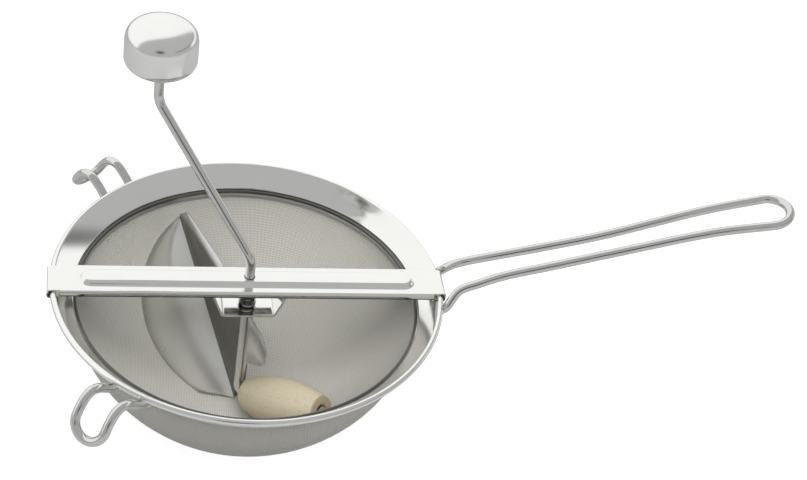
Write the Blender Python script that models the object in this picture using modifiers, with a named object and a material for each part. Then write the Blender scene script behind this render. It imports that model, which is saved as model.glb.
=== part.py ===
"""Hand cranked food mill: a wire mesh bowl, a sprung crank, a folded scraper blade and a wooden roller.

Metres, +Z up. The origin is the centre of the bowl's flat base, and +X runs along the strap to the handle.
Heights named below_rim or above_rim are counted from the top of the rolled rim.
"""
import math

import bmesh
import bpy
from mathutils import Matrix, Vector

# Rim band and bowl
RIM_RADIUS = 0.110
RIM_HEIGHT = 0.0961
BAND_SHEET = 0.0008
BEAD_RADIUS = 0.0018
BAND_INNER_RADIUS = 0.0976
FLANGE_DROP = 0.0110
COLLAR_LENGTH = 0.0048
MESH_WALL = 0.0009
MESH_HEM_BELOW_BAND = 0.0012
MESH_HEM_LENGTH = 0.0026
BASE_FLAT_RADIUS = 0.0180
BOWL_FULLNESS_SHARE = 1.78
CLAMP_SHEET = 0.0007
CLAMP_LENGTH = 0.0040
CLAMP_LIP = 0.0013

# Clearances
SEAT_GAP = 0.0003
RUN_GAP = 0.00045
CUT_OVERRUN = 0.010
WELD_DISTANCE = 0.00001

# Bent wire handle and hooks
HANDLE_WIRE = 0.0052
HANDLE_REACH = 0.1945
HANDLE_RISE = 0.0592
HANDLE_HALF_WIDTH = 0.0119
HANDLE_NECK_GAP = 0.0008
HANDLE_ROOT_ANGLE = 10.0
HANDLE_PASS_ANGLES = (20.0, 65.0)
WELD_FLANGE_SHARE = 0.62
HOOK_WIRE = 0.0052
HOOK_AZIMUTH = 130.0
HOOK_HALF_WIDTH = 0.0095
HOOK_PASS_ANGLE = 33.0
HOOK_CREST_HEIGHT = 0.0026
HOOK_REACH = 0.0305
HOOK_TIP_BELOW_RIM = 0.0140

# Strap across the rim
STRAP_SHEET = 0.0009
STRAP_WIDTH = 0.0235
STRAP_EDGE_RADIUS = 0.0012
STRAP_EDGE_DROP = 0.0028
STRAP_FLANGE_INSET = 0.0060
RIB_END_MARGIN = 0.0100
RIB_WIDTH = 0.0140
RIB_HEIGHT = 0.0025
RIB_SIDE = 0.0030
LIP_DEPTH = 0.0050
LIP_TOE = 0.0018

# Bracket under the strap
BRACKET_SHEET = 0.0012
BRACKET_WIDTH = 0.0210
BRACKET_DEPTH = 0.0175
BRACKET_FLOOR_LENGTH = 0.0290
BRACKET_TOP_LENGTH = 0.0420
BRACKET_LENGTH = 0.0820
BRACKET_BEND = 0.0022
BRACKET_CORNER = 0.0040

# Crank: one bent wire
CRANK_WIRE = 0.0055
CRANK_AZIMUTH = 137.0
CRANK_THROW = 0.0725
STUB_ABOVE_RIM = 0.0160
ARM_RISE = 0.0707
ARM_BEND = 0.0120
SPINDLE_TILT = 22.0
SPINDLE_BEND = 0.0045
SHAFT_HOLE_GAP = 0.00035
GROOVE_DEPTH = 0.0006
STOP_RADIUS = 0.0042
STOP_HEIGHT = 0.0018

# Spring and its seats
SPRING_WIRE = 0.0010
SPRING_RADIUS = 0.00375
SPRING_TURNS = 6.5
SPRING_END_PITCH = 0.0015
SPRING_POINTS_PER_TURN = 9
TOP_WASHER_RADIUS = 0.0044
TOP_WASHER_THICKNESS = 0.0006
SEAT_WASHER_RADIUS = 0.0050
SEAT_WASHER_THICKNESS = 0.0008
CLIP_THICKNESS = 0.0007
CLIP_RADIUS = 0.0046
CLIP_LUG_ANGLE = 32.0
CLIP_MOUTH_ANGLE = 64.0

# Blade: one folded sheet
BLADE_SHEET = 0.0010
BLADE_AZIMUTH = 111.0
WING_AZIMUTH = 172.0
FOLD_SLOPE = 36.9
FOLD_FOOT_HEIGHT = 0.0006
FOLD_RADIUS = 0.0009
BLADE_GAP = 0.0005
BLADE_TOP_BELOW_RIM = 0.0150
BLADE_TOP_REACH = 0.0840
BLADE_NECK_BELOW_RIM = 0.0228
BLADE_NECK_REACH = 0.0195
BLADE_SHOULDER_REACH = 0.0330
TAB_REACH = 0.0280
TAB_BOTTOM_BELOW_RIM = 0.0558

# Wooden roller
ROLLER_LENGTH = 0.0560
ROLLER_RADIUS = 0.0145
ROLLER_END_RADIUS = 0.0092
ROLLER_BORE_GAP = 0.0004
ROLLER_EDGE = 0.0012
COUNTERBORE_RADIUS = 0.0046
COUNTERBORE_DEPTH = 0.0050
ROLLER_WASHER_RADIUS = 0.0062
END_WASHER_RADIUS = 0.0042
SMALL_WASHER_THICKNESS = 0.0007
PUSH_NUT_THICKNESS = 0.0007
PUSH_NUT_DISH = 0.0005
SPINDLE_TAIL = 0.0012

# Knob
KNOB_RADIUS = 0.0199
KNOB_HEIGHT = 0.0265
KNOB_ABOVE_RIM = 0.1100
KNOB_SHEET = 0.0008
KNOB_SHOULDER = 0.0120
KNOB_FULLNESS_SHARE = 3.0
KNOB_BOTTOM_EDGE = 0.0050
KNOB_LIP_RADIUS = 0.0135
KNOB_PLATE_SHEET = 0.0009
BUSHING_RADIUS = 0.0052
BUSHING_LENGTH = 0.0165
KNOB_WASHER_RADIUS = 0.0065

# Facets
BOWL_STEPS = 56
KNOB_STEPS = 36
ROLLER_STEPS = 32
SMALL_STEPS = 20

UP = Vector((0, 0, 1))


def clear_scene():
    """Start from an empty file, whatever was open."""
    for thing in list(bpy.data.objects):
        bpy.data.objects.remove(thing, do_unlink=True)


def make_collection(name):
    collection = bpy.data.collections.new(name)
    bpy.context.scene.collection.children.link(collection)
    return collection


def make_material(name, colour, roughness, metallic):
    material = bpy.data.materials.new(name)
    material.use_nodes = True
    shader = material.node_tree.nodes["Principled BSDF"]
    shader.inputs["Base Color"].default_value = (*colour, 1)
    shader.inputs["Roughness"].default_value = roughness
    shader.inputs["Metallic"].default_value = metallic
    return material


def link_part(name, data, material, parent=None):
    """Put a mesh or a curve in the parts collection under its own name."""
    part = bpy.data.objects.new(name, data)
    PARTS.objects.link(part)
    part.data.materials.append(material)
    part.parent = parent
    return part


def pivot(name, location, rotation=None):
    """An empty on a joint's axis, which its moving pieces hang from."""
    empty = bpy.data.objects.new(name, None)
    PARTS.objects.link(empty)
    empty.location = location
    if rotation is not None:
        empty.rotation_mode = "QUATERNION"
        empty.rotation_quaternion = rotation
    return empty


def smooth(mesh, angle=35.0):
    mesh.shade_smooth()
    mesh.set_sharp_from_angle(angle=math.radians(angle))


def signed_area(outline):
    pairs = zip(outline, outline[1:] + outline[:1])
    return sum(a[0] * b[1] - b[0] * a[1] for a, b in pairs) / 2


def sheet_outline(midline, thickness):
    """Closed outline of a bent sheet: its middle line moved half the thickness to both sides."""
    half = thickness / 2
    one_side, other_side = [], []
    for index, point in enumerate(midline):
        runs = []
        if index > 0:
            runs.append((point - midline[index - 1]).normalized())
        if index < len(midline) - 1:
            runs.append((midline[index + 1] - point).normalized())
        normals = [Vector((-run.y, run.x)) for run in runs]
        mean = sum(normals, Vector((0, 0))).normalized()
        offset = mean * (half / mean.dot(normals[0]))
        one_side.append(point + offset)
        other_side.append(point - offset)
    return one_side + other_side[::-1]


def filleted(corners, radii, steps=5):
    """Points along a run of straight lines whose corners are rounded; works in a plane and in space."""
    points = [corners[0]]
    for before, corner, after, radius in zip(corners, corners[1:], corners[2:], radii):
        into = (corner - before).normalized()
        out = (after - corner).normalized()
        turn = into.angle(out)
        if radius == 0 or turn < math.radians(1.0):
            points.append(corner)
            continue
        tangent = radius * math.tan(turn / 2)
        inward = (out - into).normalized()
        centre = corner + inward * (radius / math.cos(turn / 2))
        start = corner - into * tangent - centre
        end = corner + out * tangent - centre
        for step in range(steps + 1):
            share = step / steps
            weight_in = math.sin((1 - share) * turn) / math.sin(turn)
            weight_out = math.sin(share * turn) / math.sin(turn)
            points.append(centre + start * weight_in + end * weight_out)
    points.append(corners[-1])
    return points


def filleted_loop(corners, radii, steps=5):
    """The same for a closed outline: every corner has its radius."""
    count = len(corners)
    points = []
    for index in range(count):
        trio = [corners[index - 1], corners[index], corners[(index + 1) % count]]
        points += filleted(trio, [radii[index]], steps)[1:-1]
    return points


def smooth_through(stations, steps):
    """A Catmull-Rom curve through the stations, with the same number of steps in each stretch."""
    padded = [stations[0] * 2 - stations[1]] + stations + [stations[-1] * 2 - stations[-2]]
    points = []
    for a, b, c, d in zip(padded, padded[1:], padded[2:], padded[3:]):
        for step in range(steps):
            t = step / steps
            lift = (c - a) * t + (a * 2 - b * 5 + c * 4 - d) * t ** 2 + (b * 3 - a - c * 3 + d) * t ** 3
            points.append(b + lift / 2)
    return points + [stations[-1]]


def to_axis(outline):
    """A sheet outline whose two end points are put on the axis, so that it turns into a closed cap."""
    profile = [(point.x, point.y) for point in outline]
    profile[0] = (0, profile[0][1])
    profile[-1] = (0, profile[-1][1])
    return profile


def turned_mesh(name, profile, closed=True):
    """A turned piece's half section: radius and height pairs, run down its outer side."""
    if signed_area(profile) > 0:
        profile = profile[::-1]
    mesh = bpy.data.meshes.new(name)
    count = len(profile)
    edges = [(index, index + 1) for index in range(count - 1)]
    if closed:
        edges.append((count - 1, 0))
    mesh.from_pydata([(radius, 0, height) for radius, height in profile], edges, [])
    return mesh


def turn(part, steps):
    screw = part.modifiers.new("turn", "SCREW")
    screw.axis = "Z"
    screw.steps = steps
    screw.render_steps = steps
    screw.use_merge_vertices = True
    screw.merge_threshold = WELD_DISTANCE
    screw.use_smooth_shade = True


def turned_part(name, profile, steps, material, parent=None, location=(0, 0, 0), closed=True):
    part = link_part(name, turned_mesh(name, profile, closed), material, parent)
    part.location = location
    turn(part, steps)
    return part


def washer_profile(inner, outer, bottom, thickness):
    top = bottom + thickness
    return [(inner, top), (outer, top), (outer, bottom), (inner, bottom)]


def wire_curve(name, points, diameter, roundness, cyclic=False):
    """A wire along its points, as a curve with a round bevel and filled ends."""
    curve = bpy.data.curves.new(name, "CURVE")
    curve.dimensions = "3D"
    curve.bevel_depth = diameter / 2
    curve.bevel_resolution = roundness
    curve.use_fill_caps = True
    spline = curve.splines.new("POLY")
    spline.points.add(len(points) - 1)
    for target, point in zip(spline.points, points):
        target.co = (*point, 1)
    spline.use_cyclic_u = cyclic
    spline.use_smooth = True
    return curve


def wire_part(name, points, diameter, roundness, material, parent=None):
    return link_part(name, wire_curve(name, points, diameter, roundness), material, parent)


def as_mesh(part):
    """Replace a curve or a modified piece by its evaluated mesh, with the caps welded."""
    depsgraph = bpy.context.evaluated_depsgraph_get()
    mesh = bpy.data.meshes.new_from_object(part.evaluated_get(depsgraph))
    weld = bmesh.new()
    weld.from_mesh(mesh)
    bmesh.ops.remove_doubles(weld, verts=weld.verts, dist=WELD_DISTANCE)
    bmesh.ops.recalc_face_normals(weld, faces=weld.faces)
    weld.to_mesh(mesh)
    weld.free()
    solid = bpy.data.objects.new(part.name, mesh)
    for collection in part.users_collection:
        collection.objects.link(solid)
    solid.parent = part.parent
    solid.matrix_world = part.matrix_world
    name = part.name
    bpy.data.objects.remove(part, do_unlink=True)
    solid.name = name
    return solid


def prism_mesh(name, outline, height, base=0.0):
    """A flat outline in X and Y, raised along Z."""
    if signed_area(outline) < 0:
        outline = outline[::-1]
    form = bmesh.new()
    rim = [form.verts.new((point[0], point[1], base)) for point in outline]
    floor = form.faces.new(rim)
    raised = bmesh.ops.extrude_face_region(form, geom=[floor])
    moved = [item for item in raised["geom"] if isinstance(item, bmesh.types.BMVert)]
    bmesh.ops.translate(form, verts=moved, vec=(0, 0, height))
    bmesh.ops.recalc_face_normals(form, faces=form.faces)
    mesh = bpy.data.meshes.new(name)
    form.to_mesh(mesh)
    form.free()
    return mesh


def cutter(name, mesh, matrix=None):
    """A hidden solid that a Boolean reads."""
    tool = bpy.data.objects.new(name, mesh)
    CUTTERS.objects.link(tool)
    tool.hide_render = True
    tool.display_type = "WIRE"
    if matrix is not None:
        tool.matrix_world = matrix
    return tool


def combine(part, tool, operation):
    step = part.modifiers.new(tool.name, "BOOLEAN")
    step.operation = operation
    step.solver = "EXACT"
    step.object = tool
    return step


def hole_cutter(name, radius, bottom, top, steps=SMALL_STEPS):
    """A round hole down the shaft's axis."""
    profile = washer_profile(0, radius, bottom, top - bottom)
    tool = cutter(name, turned_mesh(name, profile, closed=False))
    turn(tool, steps)
    return tool


def flat_plan(azimuth):
    """Unit vector in plan at an angle from +X."""
    return Vector((math.cos(math.radians(azimuth)), math.sin(math.radians(azimuth)), 0))


def below_rim(depth):
    return RIM_HEIGHT - depth


def above_rim(height):
    return RIM_HEIGHT + height


# Rim band: the flange's middle line runs from the collar up the cone and round the rolled bead
BEAD_MIDDLE = BEAD_RADIUS - BAND_SHEET / 2
BEAD_CENTRE = Vector((RIM_RADIUS - BEAD_RADIUS, RIM_HEIGHT - BEAD_RADIUS))
FLANGE_INNER = Vector((BAND_INNER_RADIUS, below_rim(FLANGE_DROP)))
FLANGE_RUN = BEAD_CENTRE - FLANGE_INNER
FLANGE_ANGLE = math.atan2(FLANGE_RUN.y, FLANGE_RUN.x) + math.asin(BEAD_MIDDLE / FLANGE_RUN.length)
FLANGE_ALONG = Vector((math.cos(FLANGE_ANGLE), math.sin(FLANGE_ANGLE)))
FLANGE_UNDER = Vector((FLANGE_ALONG.y, -FLANGE_ALONG.x))
BEAD_CURL = 245.0
BEAD_SEGMENTS = 7


def band_midline():
    collar_foot = FLANGE_INNER - Vector((0, COLLAR_LENGTH))
    tangent = BEAD_CENTRE - FLANGE_UNDER * BEAD_MIDDLE
    line = filleted([collar_foot, FLANGE_INNER, tangent], [BAND_SHEET], 3)
    start = math.atan2(-FLANGE_UNDER.y, -FLANGE_UNDER.x)
    for step in range(1, BEAD_SEGMENTS + 1):
        angle = start - math.radians(BEAD_CURL) * step / BEAD_SEGMENTS
        line.append(BEAD_CENTRE + Vector((math.cos(angle), math.sin(angle))) * BEAD_MIDDLE)
    return line


def make_rim_band():
    outline = sheet_outline(band_midline(), BAND_SHEET)
    return turned_part("rim_band", outline, BOWL_STEPS, POLISHED_STEEL)


# Mesh bowl: a hem inside the collar, a full curve and a flat base
HEM_OUTER_RADIUS = BAND_INNER_RADIUS - BAND_SHEET / 2 - SEAT_GAP
HEM_RADIUS = HEM_OUTER_RADIUS - MESH_WALL / 2
HEM_TOP = FLANGE_INNER.y - MESH_HEM_BELOW_BAND
CURVE_TOP = HEM_TOP - MESH_HEM_LENGTH
CURVE_SEGMENTS = 11
KNOB_TOP_SEGMENTS = 8


def full_quarter(radius, depth, power, start, steps):
    """A quarter of a superellipse, from an angle past its pole out to its widest point."""
    points = []
    for step in range(steps + 1):
        angle = start + (math.pi / 2 - start) * step / steps
        across = math.sin(angle) ** (2 / power)
        along = max(math.cos(angle), 0) ** (2 / power)
        points.append(Vector((radius * across, depth * along)))
    return points


def bowl_midline():
    """Middle line of the mesh from the centre of the base up to the hem."""
    power = BOWL_FULLNESS_SHARE
    flat_share = (BASE_FLAT_RADIUS / HEM_RADIUS) ** power
    base = MESH_WALL / 2
    curve_depth = (CURVE_TOP - base) / (1 - flat_share) ** (1 / power)
    start = math.asin(math.sqrt(flat_share))
    curve = full_quarter(HEM_RADIUS, curve_depth, power, start, CURVE_SEGMENTS)
    line = [Vector((0, base))] + [Vector((point.x, CURVE_TOP - point.y)) for point in curve]
    line.append(Vector((HEM_RADIUS, HEM_TOP)))
    return line


def inside_bowl(gap):
    """The mesh's inner surface moved inwards by a gap, from the base's centre to the hem."""
    outline = sheet_outline(bowl_midline(), MESH_WALL + 2 * gap)
    inner = outline[:len(outline) // 2]
    return [Vector((max(point.x, 0), point.y)) for point in inner]


def make_mesh_bowl():
    profile = to_axis(sheet_outline(bowl_midline(), MESH_WALL))
    return turned_part("mesh_bowl", profile, BOWL_STEPS, WIRE_MESH, closed=False)


# Clamp ring: a hoop inside the hem with a lip over the mesh's cut edge
CLAMP_RADIUS = HEM_RADIUS - MESH_WALL / 2 - SEAT_GAP - CLAMP_SHEET / 2
CLAMP_TOP = HEM_TOP + SEAT_GAP + CLAMP_SHEET / 2


def make_mesh_clamp_ring():
    foot = Vector((CLAMP_RADIUS, CLAMP_TOP - CLAMP_LENGTH))
    corner = Vector((CLAMP_RADIUS, CLAMP_TOP))
    lip = Vector((CLAMP_RADIUS + CLAMP_LIP, CLAMP_TOP))
    line = filleted([foot, corner, lip], [CLAMP_SHEET], 2)
    outline = sheet_outline(line, CLAMP_SHEET)
    return turned_part("mesh_clamp_ring", outline, BOWL_STEPS, POLISHED_STEEL)


def weld_seat(wire, share):
    """Radius and height of a wire that lies under the flange, at a share of the way up its slope."""
    along = FLANGE_INNER + FLANGE_ALONG * FLANGE_RUN.length * share
    seat = along + FLANGE_UNDER * (BAND_SHEET / 2 + SEAT_GAP + wire / 2)
    return seat.x, seat.y


def bead_pass(wire, lean):
    """Radius and height of a wire that passes the bead, at an angle from straight below it."""
    clear = BEAD_RADIUS + SEAT_GAP + wire / 2
    turned = math.radians(lean)
    return BEAD_CENTRE.x + clear * math.sin(turned), BEAD_CENTRE.y - clear * math.cos(turned)


# Handle: stations as shares of its reach from the rim, of its half width and of its rise
HANDLE_TIP_START_SHARE = 0.965
HANDLE_STATION_SHARES = [
    (0.041, 0.96, 0.078),
    (0.093, 0.88, 0.155),
    (0.175, 0.76, 0.248),
    (0.308, 0.72, 0.370),
    (0.483, 0.70, 0.540),
    (0.751, 0.84, 0.826),
]
HANDLE_TIP_STEPS = 6
HANDLE_STRETCH_STEPS = 4


def handle_side():
    """Centre line of the handle's +Y side, from its root along the rim out to the tip's arc."""
    radius, height = weld_seat(HANDLE_WIRE, WELD_FLANGE_SHARE)
    neck = STRAP_WIDTH / 2 + HANDLE_WIRE / 2 + HANDLE_NECK_GAP
    neck_angle = math.degrees(math.asin(neck / radius)) + HANDLE_ROOT_ANGLE / 4
    stations = []
    for step in range(3):
        azimuth = neck_angle + HANDLE_ROOT_ANGLE * (1 - step / 2)
        stations.append(flat_plan(azimuth) * radius + UP * height)
    for lean in HANDLE_PASS_ANGLES:
        radius, height = bead_pass(HANDLE_WIRE + SEAT_GAP, lean)
        stations.append(Vector((math.sqrt(radius ** 2 - neck ** 2), neck, height)))
    for reach_share, width_share, rise_share in HANDLE_STATION_SHARES:
        x = RIM_RADIUS + HANDLE_REACH * reach_share
        stations.append(Vector((x, HANDLE_HALF_WIDTH * width_share, above_rim(HANDLE_RISE * rise_share))))
    centre_x = RIM_RADIUS + HANDLE_REACH - HANDLE_HALF_WIDTH
    stations.append(Vector((centre_x, HANDLE_HALF_WIDTH, above_rim(HANDLE_RISE * HANDLE_TIP_START_SHARE))))
    return smooth_through(stations, HANDLE_STRETCH_STEPS)


def make_handle_loop():
    side = handle_side()
    start = side[-1]
    tip = []
    for step in range(1, HANDLE_TIP_STEPS):
        angle = math.pi * step / HANDLE_TIP_STEPS
        along = math.sin(angle)
        x = start.x + HANDLE_HALF_WIDTH * along
        z = start.z + HANDLE_RISE * (1 - HANDLE_TIP_START_SHARE) * along
        tip.append(Vector((x, HANDLE_HALF_WIDTH * math.cos(angle), z)))
    other = [Vector((point.x, -point.y, point.z)) for point in side]
    points = side + tip + other[::-1]
    return wire_part("handle_loop", points, HANDLE_WIRE, 3, POLISHED_WIRE)


# Hooks: each leg is welded under the flange, passes below the bead and rises over a low crest. Stations
# are shares of the reach beyond the rim and of the height between tip and crest.
HOOK_ROOT_SHARES = (0.15, 0.45)
HOOK_STATION_SHARES = [
    (0.213, 0.79),
    (0.426, 1.00),
    (0.607, 0.97),
    (0.754, 0.76),
    (0.86, 0.50),
]
HOOK_STRETCH_STEPS = 2
HOOK_TIP_STEPS = 7


def hook_side():
    """Centre line of one leg in the hook's own frame: X outwards, Y along the rim."""
    seats = [weld_seat(HOOK_WIRE, share) for share in HOOK_ROOT_SHARES]
    seats.append(bead_pass(HOOK_WIRE, HOOK_PASS_ANGLE))
    stations = []
    for radius, height in seats:
        bow = math.sqrt(radius ** 2 - HOOK_HALF_WIDTH ** 2)
        stations.append(Vector((bow, HOOK_HALF_WIDTH, height)))
    span = HOOK_CREST_HEIGHT + HOOK_TIP_BELOW_RIM
    for reach_share, height_share in HOOK_STATION_SHARES:
        z = above_rim(HOOK_CREST_HEIGHT) - span * (1 - height_share)
        stations.append(Vector((RIM_RADIUS + HOOK_REACH * reach_share, HOOK_HALF_WIDTH, z)))
    return smooth_through(stations, HOOK_STRETCH_STEPS)


def hook_points():
    side = hook_side()
    start = side[-1]
    tip_x = RIM_RADIUS + HOOK_REACH
    tip_z = below_rim(HOOK_TIP_BELOW_RIM)
    arc = []
    for step in range(1, HOOK_TIP_STEPS):
        angle = math.pi * step / HOOK_TIP_STEPS
        along = math.sin(angle)
        x = start.x + (tip_x - start.x) * along
        z = start.z + (tip_z - start.z) * along
        arc.append(Vector((x, HOOK_HALF_WIDTH * math.cos(angle), z)))
    other = [Vector((point.x, -point.y, point.z)) for point in side]
    return side + arc + other[::-1]


def make_hook(name, azimuth):
    turn_to = Matrix.Rotation(math.radians(azimuth), 3, "Z")
    points = [turn_to @ point for point in hook_points()]
    return wire_part(name, points, HOOK_WIRE, 2, POLISHED_WIRE)


# Strap: its middle surface lies on the rim's bead
STRAP_MIDDLE = above_rim(SEAT_GAP + STRAP_SHEET / 2)
STRAP_TOP = STRAP_MIDDLE + STRAP_SHEET / 2
RIB_UNDERSIDE = STRAP_MIDDLE + RIB_HEIGHT - STRAP_SHEET / 2
STRAP_HALF = (STRAP_WIDTH - STRAP_SHEET) / 2
RIB_SIDE_SHARES = [0.0, 0.25, 0.5, 0.75, 1.0]
RIB_ARC_STEPS = 3
SMALLEST_SHARE = 0.001


def rib_angles():
    """Angles round one end of the rib, one of which points at the strap's corner."""
    end_run = strap_flat_end() - rib_straight()
    corner = math.atan2(STRAP_HALF - STRAP_EDGE_RADIUS, end_run)
    low = [corner * step / RIB_ARC_STEPS for step in range(RIB_ARC_STEPS)]
    high = [corner + (math.pi / 2 - corner) * step / RIB_ARC_STEPS for step in range(RIB_ARC_STEPS + 1)]
    quarter = low + high
    return [-angle for angle in quarter[:0:-1]] + quarter


def strap_flat_end():
    return RIM_RADIUS - STRAP_FLANGE_INSET


def rib_straight():
    """Distance from the strap's middle to the centre of the rib's round end."""
    return strap_flat_end() - RIB_END_MARGIN - RIB_WIDTH / 2


def rib_loop(radius, height):
    """A loop round the rib at one distance from its middle line."""
    straight = rib_straight()
    loop = []
    for side in (1, -1):
        for angle in rib_angles():
            x = side * (straight + radius * math.cos(angle))
            loop.append(Vector((x, side * radius * math.sin(angle), height)))
    return loop


def strap_loop(height):
    """The strap's flat outline, with one point for each point of a rib loop."""
    straight = rib_straight()
    half_width = STRAP_HALF - STRAP_EDGE_RADIUS
    end_run = strap_flat_end() - straight
    loop = []
    for side in (1, -1):
        for angle in rib_angles():
            reach_end = end_run / max(math.cos(angle), SMALLEST_SHARE)
            reach_side = half_width / max(abs(math.sin(angle)), SMALLEST_SHARE)
            reach = min(reach_end, reach_side)
            x = side * (straight + reach * math.cos(angle))
            loop.append(Vector((x, side * reach * math.sin(angle), height)))
    return loop


def pull_edges(form, edges, rows):
    """Draw a row of edges through a list of moves, each counted from the last place."""
    for move in rows:
        pulled = bmesh.ops.extrude_edge_only(form, edges=edges)["geom"]
        edges = [item for item in pulled if isinstance(item, bmesh.types.BMEdge)]
        verts = [item for item in pulled if isinstance(item, bmesh.types.BMVert)]
        for vert in verts:
            vert.co += move(vert.co)


def bend_moves(along, radius, drop, steps):
    """Moves for a sheet edge that rolls down a quarter circle and then runs straight down."""
    moves = []
    for step in range(steps):
        here = math.pi / 2 * step / steps
        there = math.pi / 2 * (step + 1) / steps
        out = radius * (math.sin(there) - math.sin(here))
        down = radius * (math.cos(here) - math.cos(there))
        moves.append((out, -down))
    moves.append((0, radius - drop))

    def outward(out, rise):
        return lambda place: Vector((
            math.copysign(out, place.x) if along == "x" else 0,
            math.copysign(out, place.y) if along == "y" else 0,
            rise,
        ))

    return [outward(out, rise) for out, rise in moves]


def make_cross_bar():
    """Pressed strap: raised rib, turned down long edges and end lips hooked under the bead."""
    form = bmesh.new()
    top_radius = RIB_WIDTH / 2 - RIB_SIDE
    loops = []
    for share in RIB_SIDE_SHARES:
        height = STRAP_MIDDLE + RIB_HEIGHT * (1 + math.cos(math.pi * share)) / 2
        loops.append(rib_loop(top_radius + RIB_SIDE * share, height))
    loops.append(strap_loop(STRAP_MIDDLE))
    rings = [[form.verts.new(point) for point in loop] for loop in loops]
    form.faces.new(rings[0])
    for inner, outer in zip(rings, rings[1:]):
        count = len(inner)
        for index in range(count):
            after = (index + 1) % count
            form.faces.new((inner[index], outer[index], outer[after], inner[after]))
    half_width = STRAP_HALF - STRAP_EDGE_RADIUS
    flat_end = strap_flat_end()
    nearly = SEAT_GAP
    border = [edge for edge in form.edges if edge.is_boundary]
    long_edges = [e for e in border if all(abs(abs(v.co.y) - half_width) < nearly for v in e.verts)]
    end_edges = [e for e in border if all(abs(abs(v.co.x) - flat_end) < nearly for v in e.verts)]
    pull_edges(form, long_edges, bend_moves("y", STRAP_EDGE_RADIUS, STRAP_EDGE_DROP, 3))
    lip_inside = RIM_RADIUS + SEAT_GAP + STRAP_SHEET / 2
    run = lip_inside - STRAP_EDGE_RADIUS - flat_end
    straight = [lambda place: Vector((math.copysign(run, place.x), 0, 0))]
    toe = [lambda place: Vector((-math.copysign(LIP_TOE / 3, place.x), 0, -LIP_TOE / 2)),
           lambda place: Vector((-math.copysign(LIP_TOE * 2 / 3, place.x), 0, -LIP_TOE / 6))]
    down = bend_moves("x", STRAP_EDGE_RADIUS, LIP_DEPTH - LIP_TOE / 2, 3)
    pull_edges(form, end_edges, straight + down + toe)
    bmesh.ops.recalc_face_normals(form, faces=form.faces)
    mesh = bpy.data.meshes.new("cross_bar")
    form.to_mesh(mesh)
    form.free()
    part = link_part("cross_bar", mesh, POLISHED_STEEL)
    wall = part.modifiers.new("sheet", "SOLIDIFY")
    wall.thickness = STRAP_SHEET
    wall.offset = 0
    wall.use_even_offset = True
    hole = hole_cutter("strap_hole", SHAFT_HOLE_RADIUS, RIM_HEIGHT - CUT_OVERRUN, STRAP_TOP + CUT_OVERRUN)
    combine(part, hole, "DIFFERENCE")
    smooth(mesh)
    return part


SHAFT_RADIUS = CRANK_WIRE / 2
SHAFT_HOLE_RADIUS = SHAFT_RADIUS + SHAFT_HOLE_GAP
BRACKET_FLOOR_BOTTOM = below_rim(BRACKET_DEPTH)
BRACKET_FLOOR_TOP = BRACKET_FLOOR_BOTTOM + BRACKET_SHEET


def make_bearing_bracket():
    """Hat section strip: two flanges under the strap, slanted legs and a floor with the shaft's hole."""
    top = RIM_HEIGHT - BRACKET_SHEET / 2
    floor = BRACKET_FLOOR_BOTTOM + BRACKET_SHEET / 2
    corners = []
    for side in (-1, 1):
        places = [(BRACKET_LENGTH / 2, top), (BRACKET_TOP_LENGTH / 2, top), (BRACKET_FLOOR_LENGTH / 2, floor)]
        run = [Vector((side * x, z)) for x, z in places]
        corners += run if side < 0 else run[::-1]
    midline = filleted(corners, [BRACKET_BEND] * 4, 4)
    outline = sheet_outline(midline, BRACKET_SHEET)
    mesh = prism_mesh("bearing_bracket", outline, BRACKET_WIDTH, -BRACKET_WIDTH / 2)
    mesh.transform(Matrix.Rotation(math.pi / 2, 4, "X"))
    form = bmesh.new()
    form.from_mesh(mesh)
    end = BRACKET_LENGTH / 2 - SEAT_GAP
    corner_edges = [e for e in form.edges
                    if all(abs(v.co.x) > end for v in e.verts)
                    and abs(e.verts[0].co.y - e.verts[1].co.y) < SEAT_GAP]
    bmesh.ops.bevel(form, geom=corner_edges, offset=BRACKET_CORNER, segments=4, affect="EDGES",
                    profile=0.5, clamp_overlap=True)
    form.to_mesh(mesh)
    form.free()
    part = link_part("bearing_bracket", mesh, POLISHED_STEEL)
    hole = hole_cutter("bracket_hole", SHAFT_HOLE_RADIUS, BRACKET_FLOOR_BOTTOM - CUT_OVERRUN,
                       BRACKET_FLOOR_TOP + CUT_OVERRUN / 2)
    combine(part, hole, "DIFFERENCE")
    smooth(mesh)
    return part


# Spring stack: seat, spring, seat and clip, one above the other round the shaft
TOP_WASHER_BOTTOM = RIB_UNDERSIDE - SEAT_GAP - TOP_WASHER_THICKNESS
CLIP_BOTTOM = BRACKET_FLOOR_TOP + RUN_GAP
SEAT_WASHER_BOTTOM = CLIP_BOTTOM + CLIP_THICKNESS + SEAT_GAP
SPRING_TOP = TOP_WASHER_BOTTOM - SEAT_GAP - SPRING_WIRE / 2
SPRING_BOTTOM = SEAT_WASHER_BOTTOM + SEAT_WASHER_THICKNESS + SEAT_GAP + SPRING_WIRE / 2
WASHER_INNER = SHAFT_RADIUS + SEAT_GAP
GROOVE_RADIUS = SHAFT_RADIUS - GROOVE_DEPTH


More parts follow.
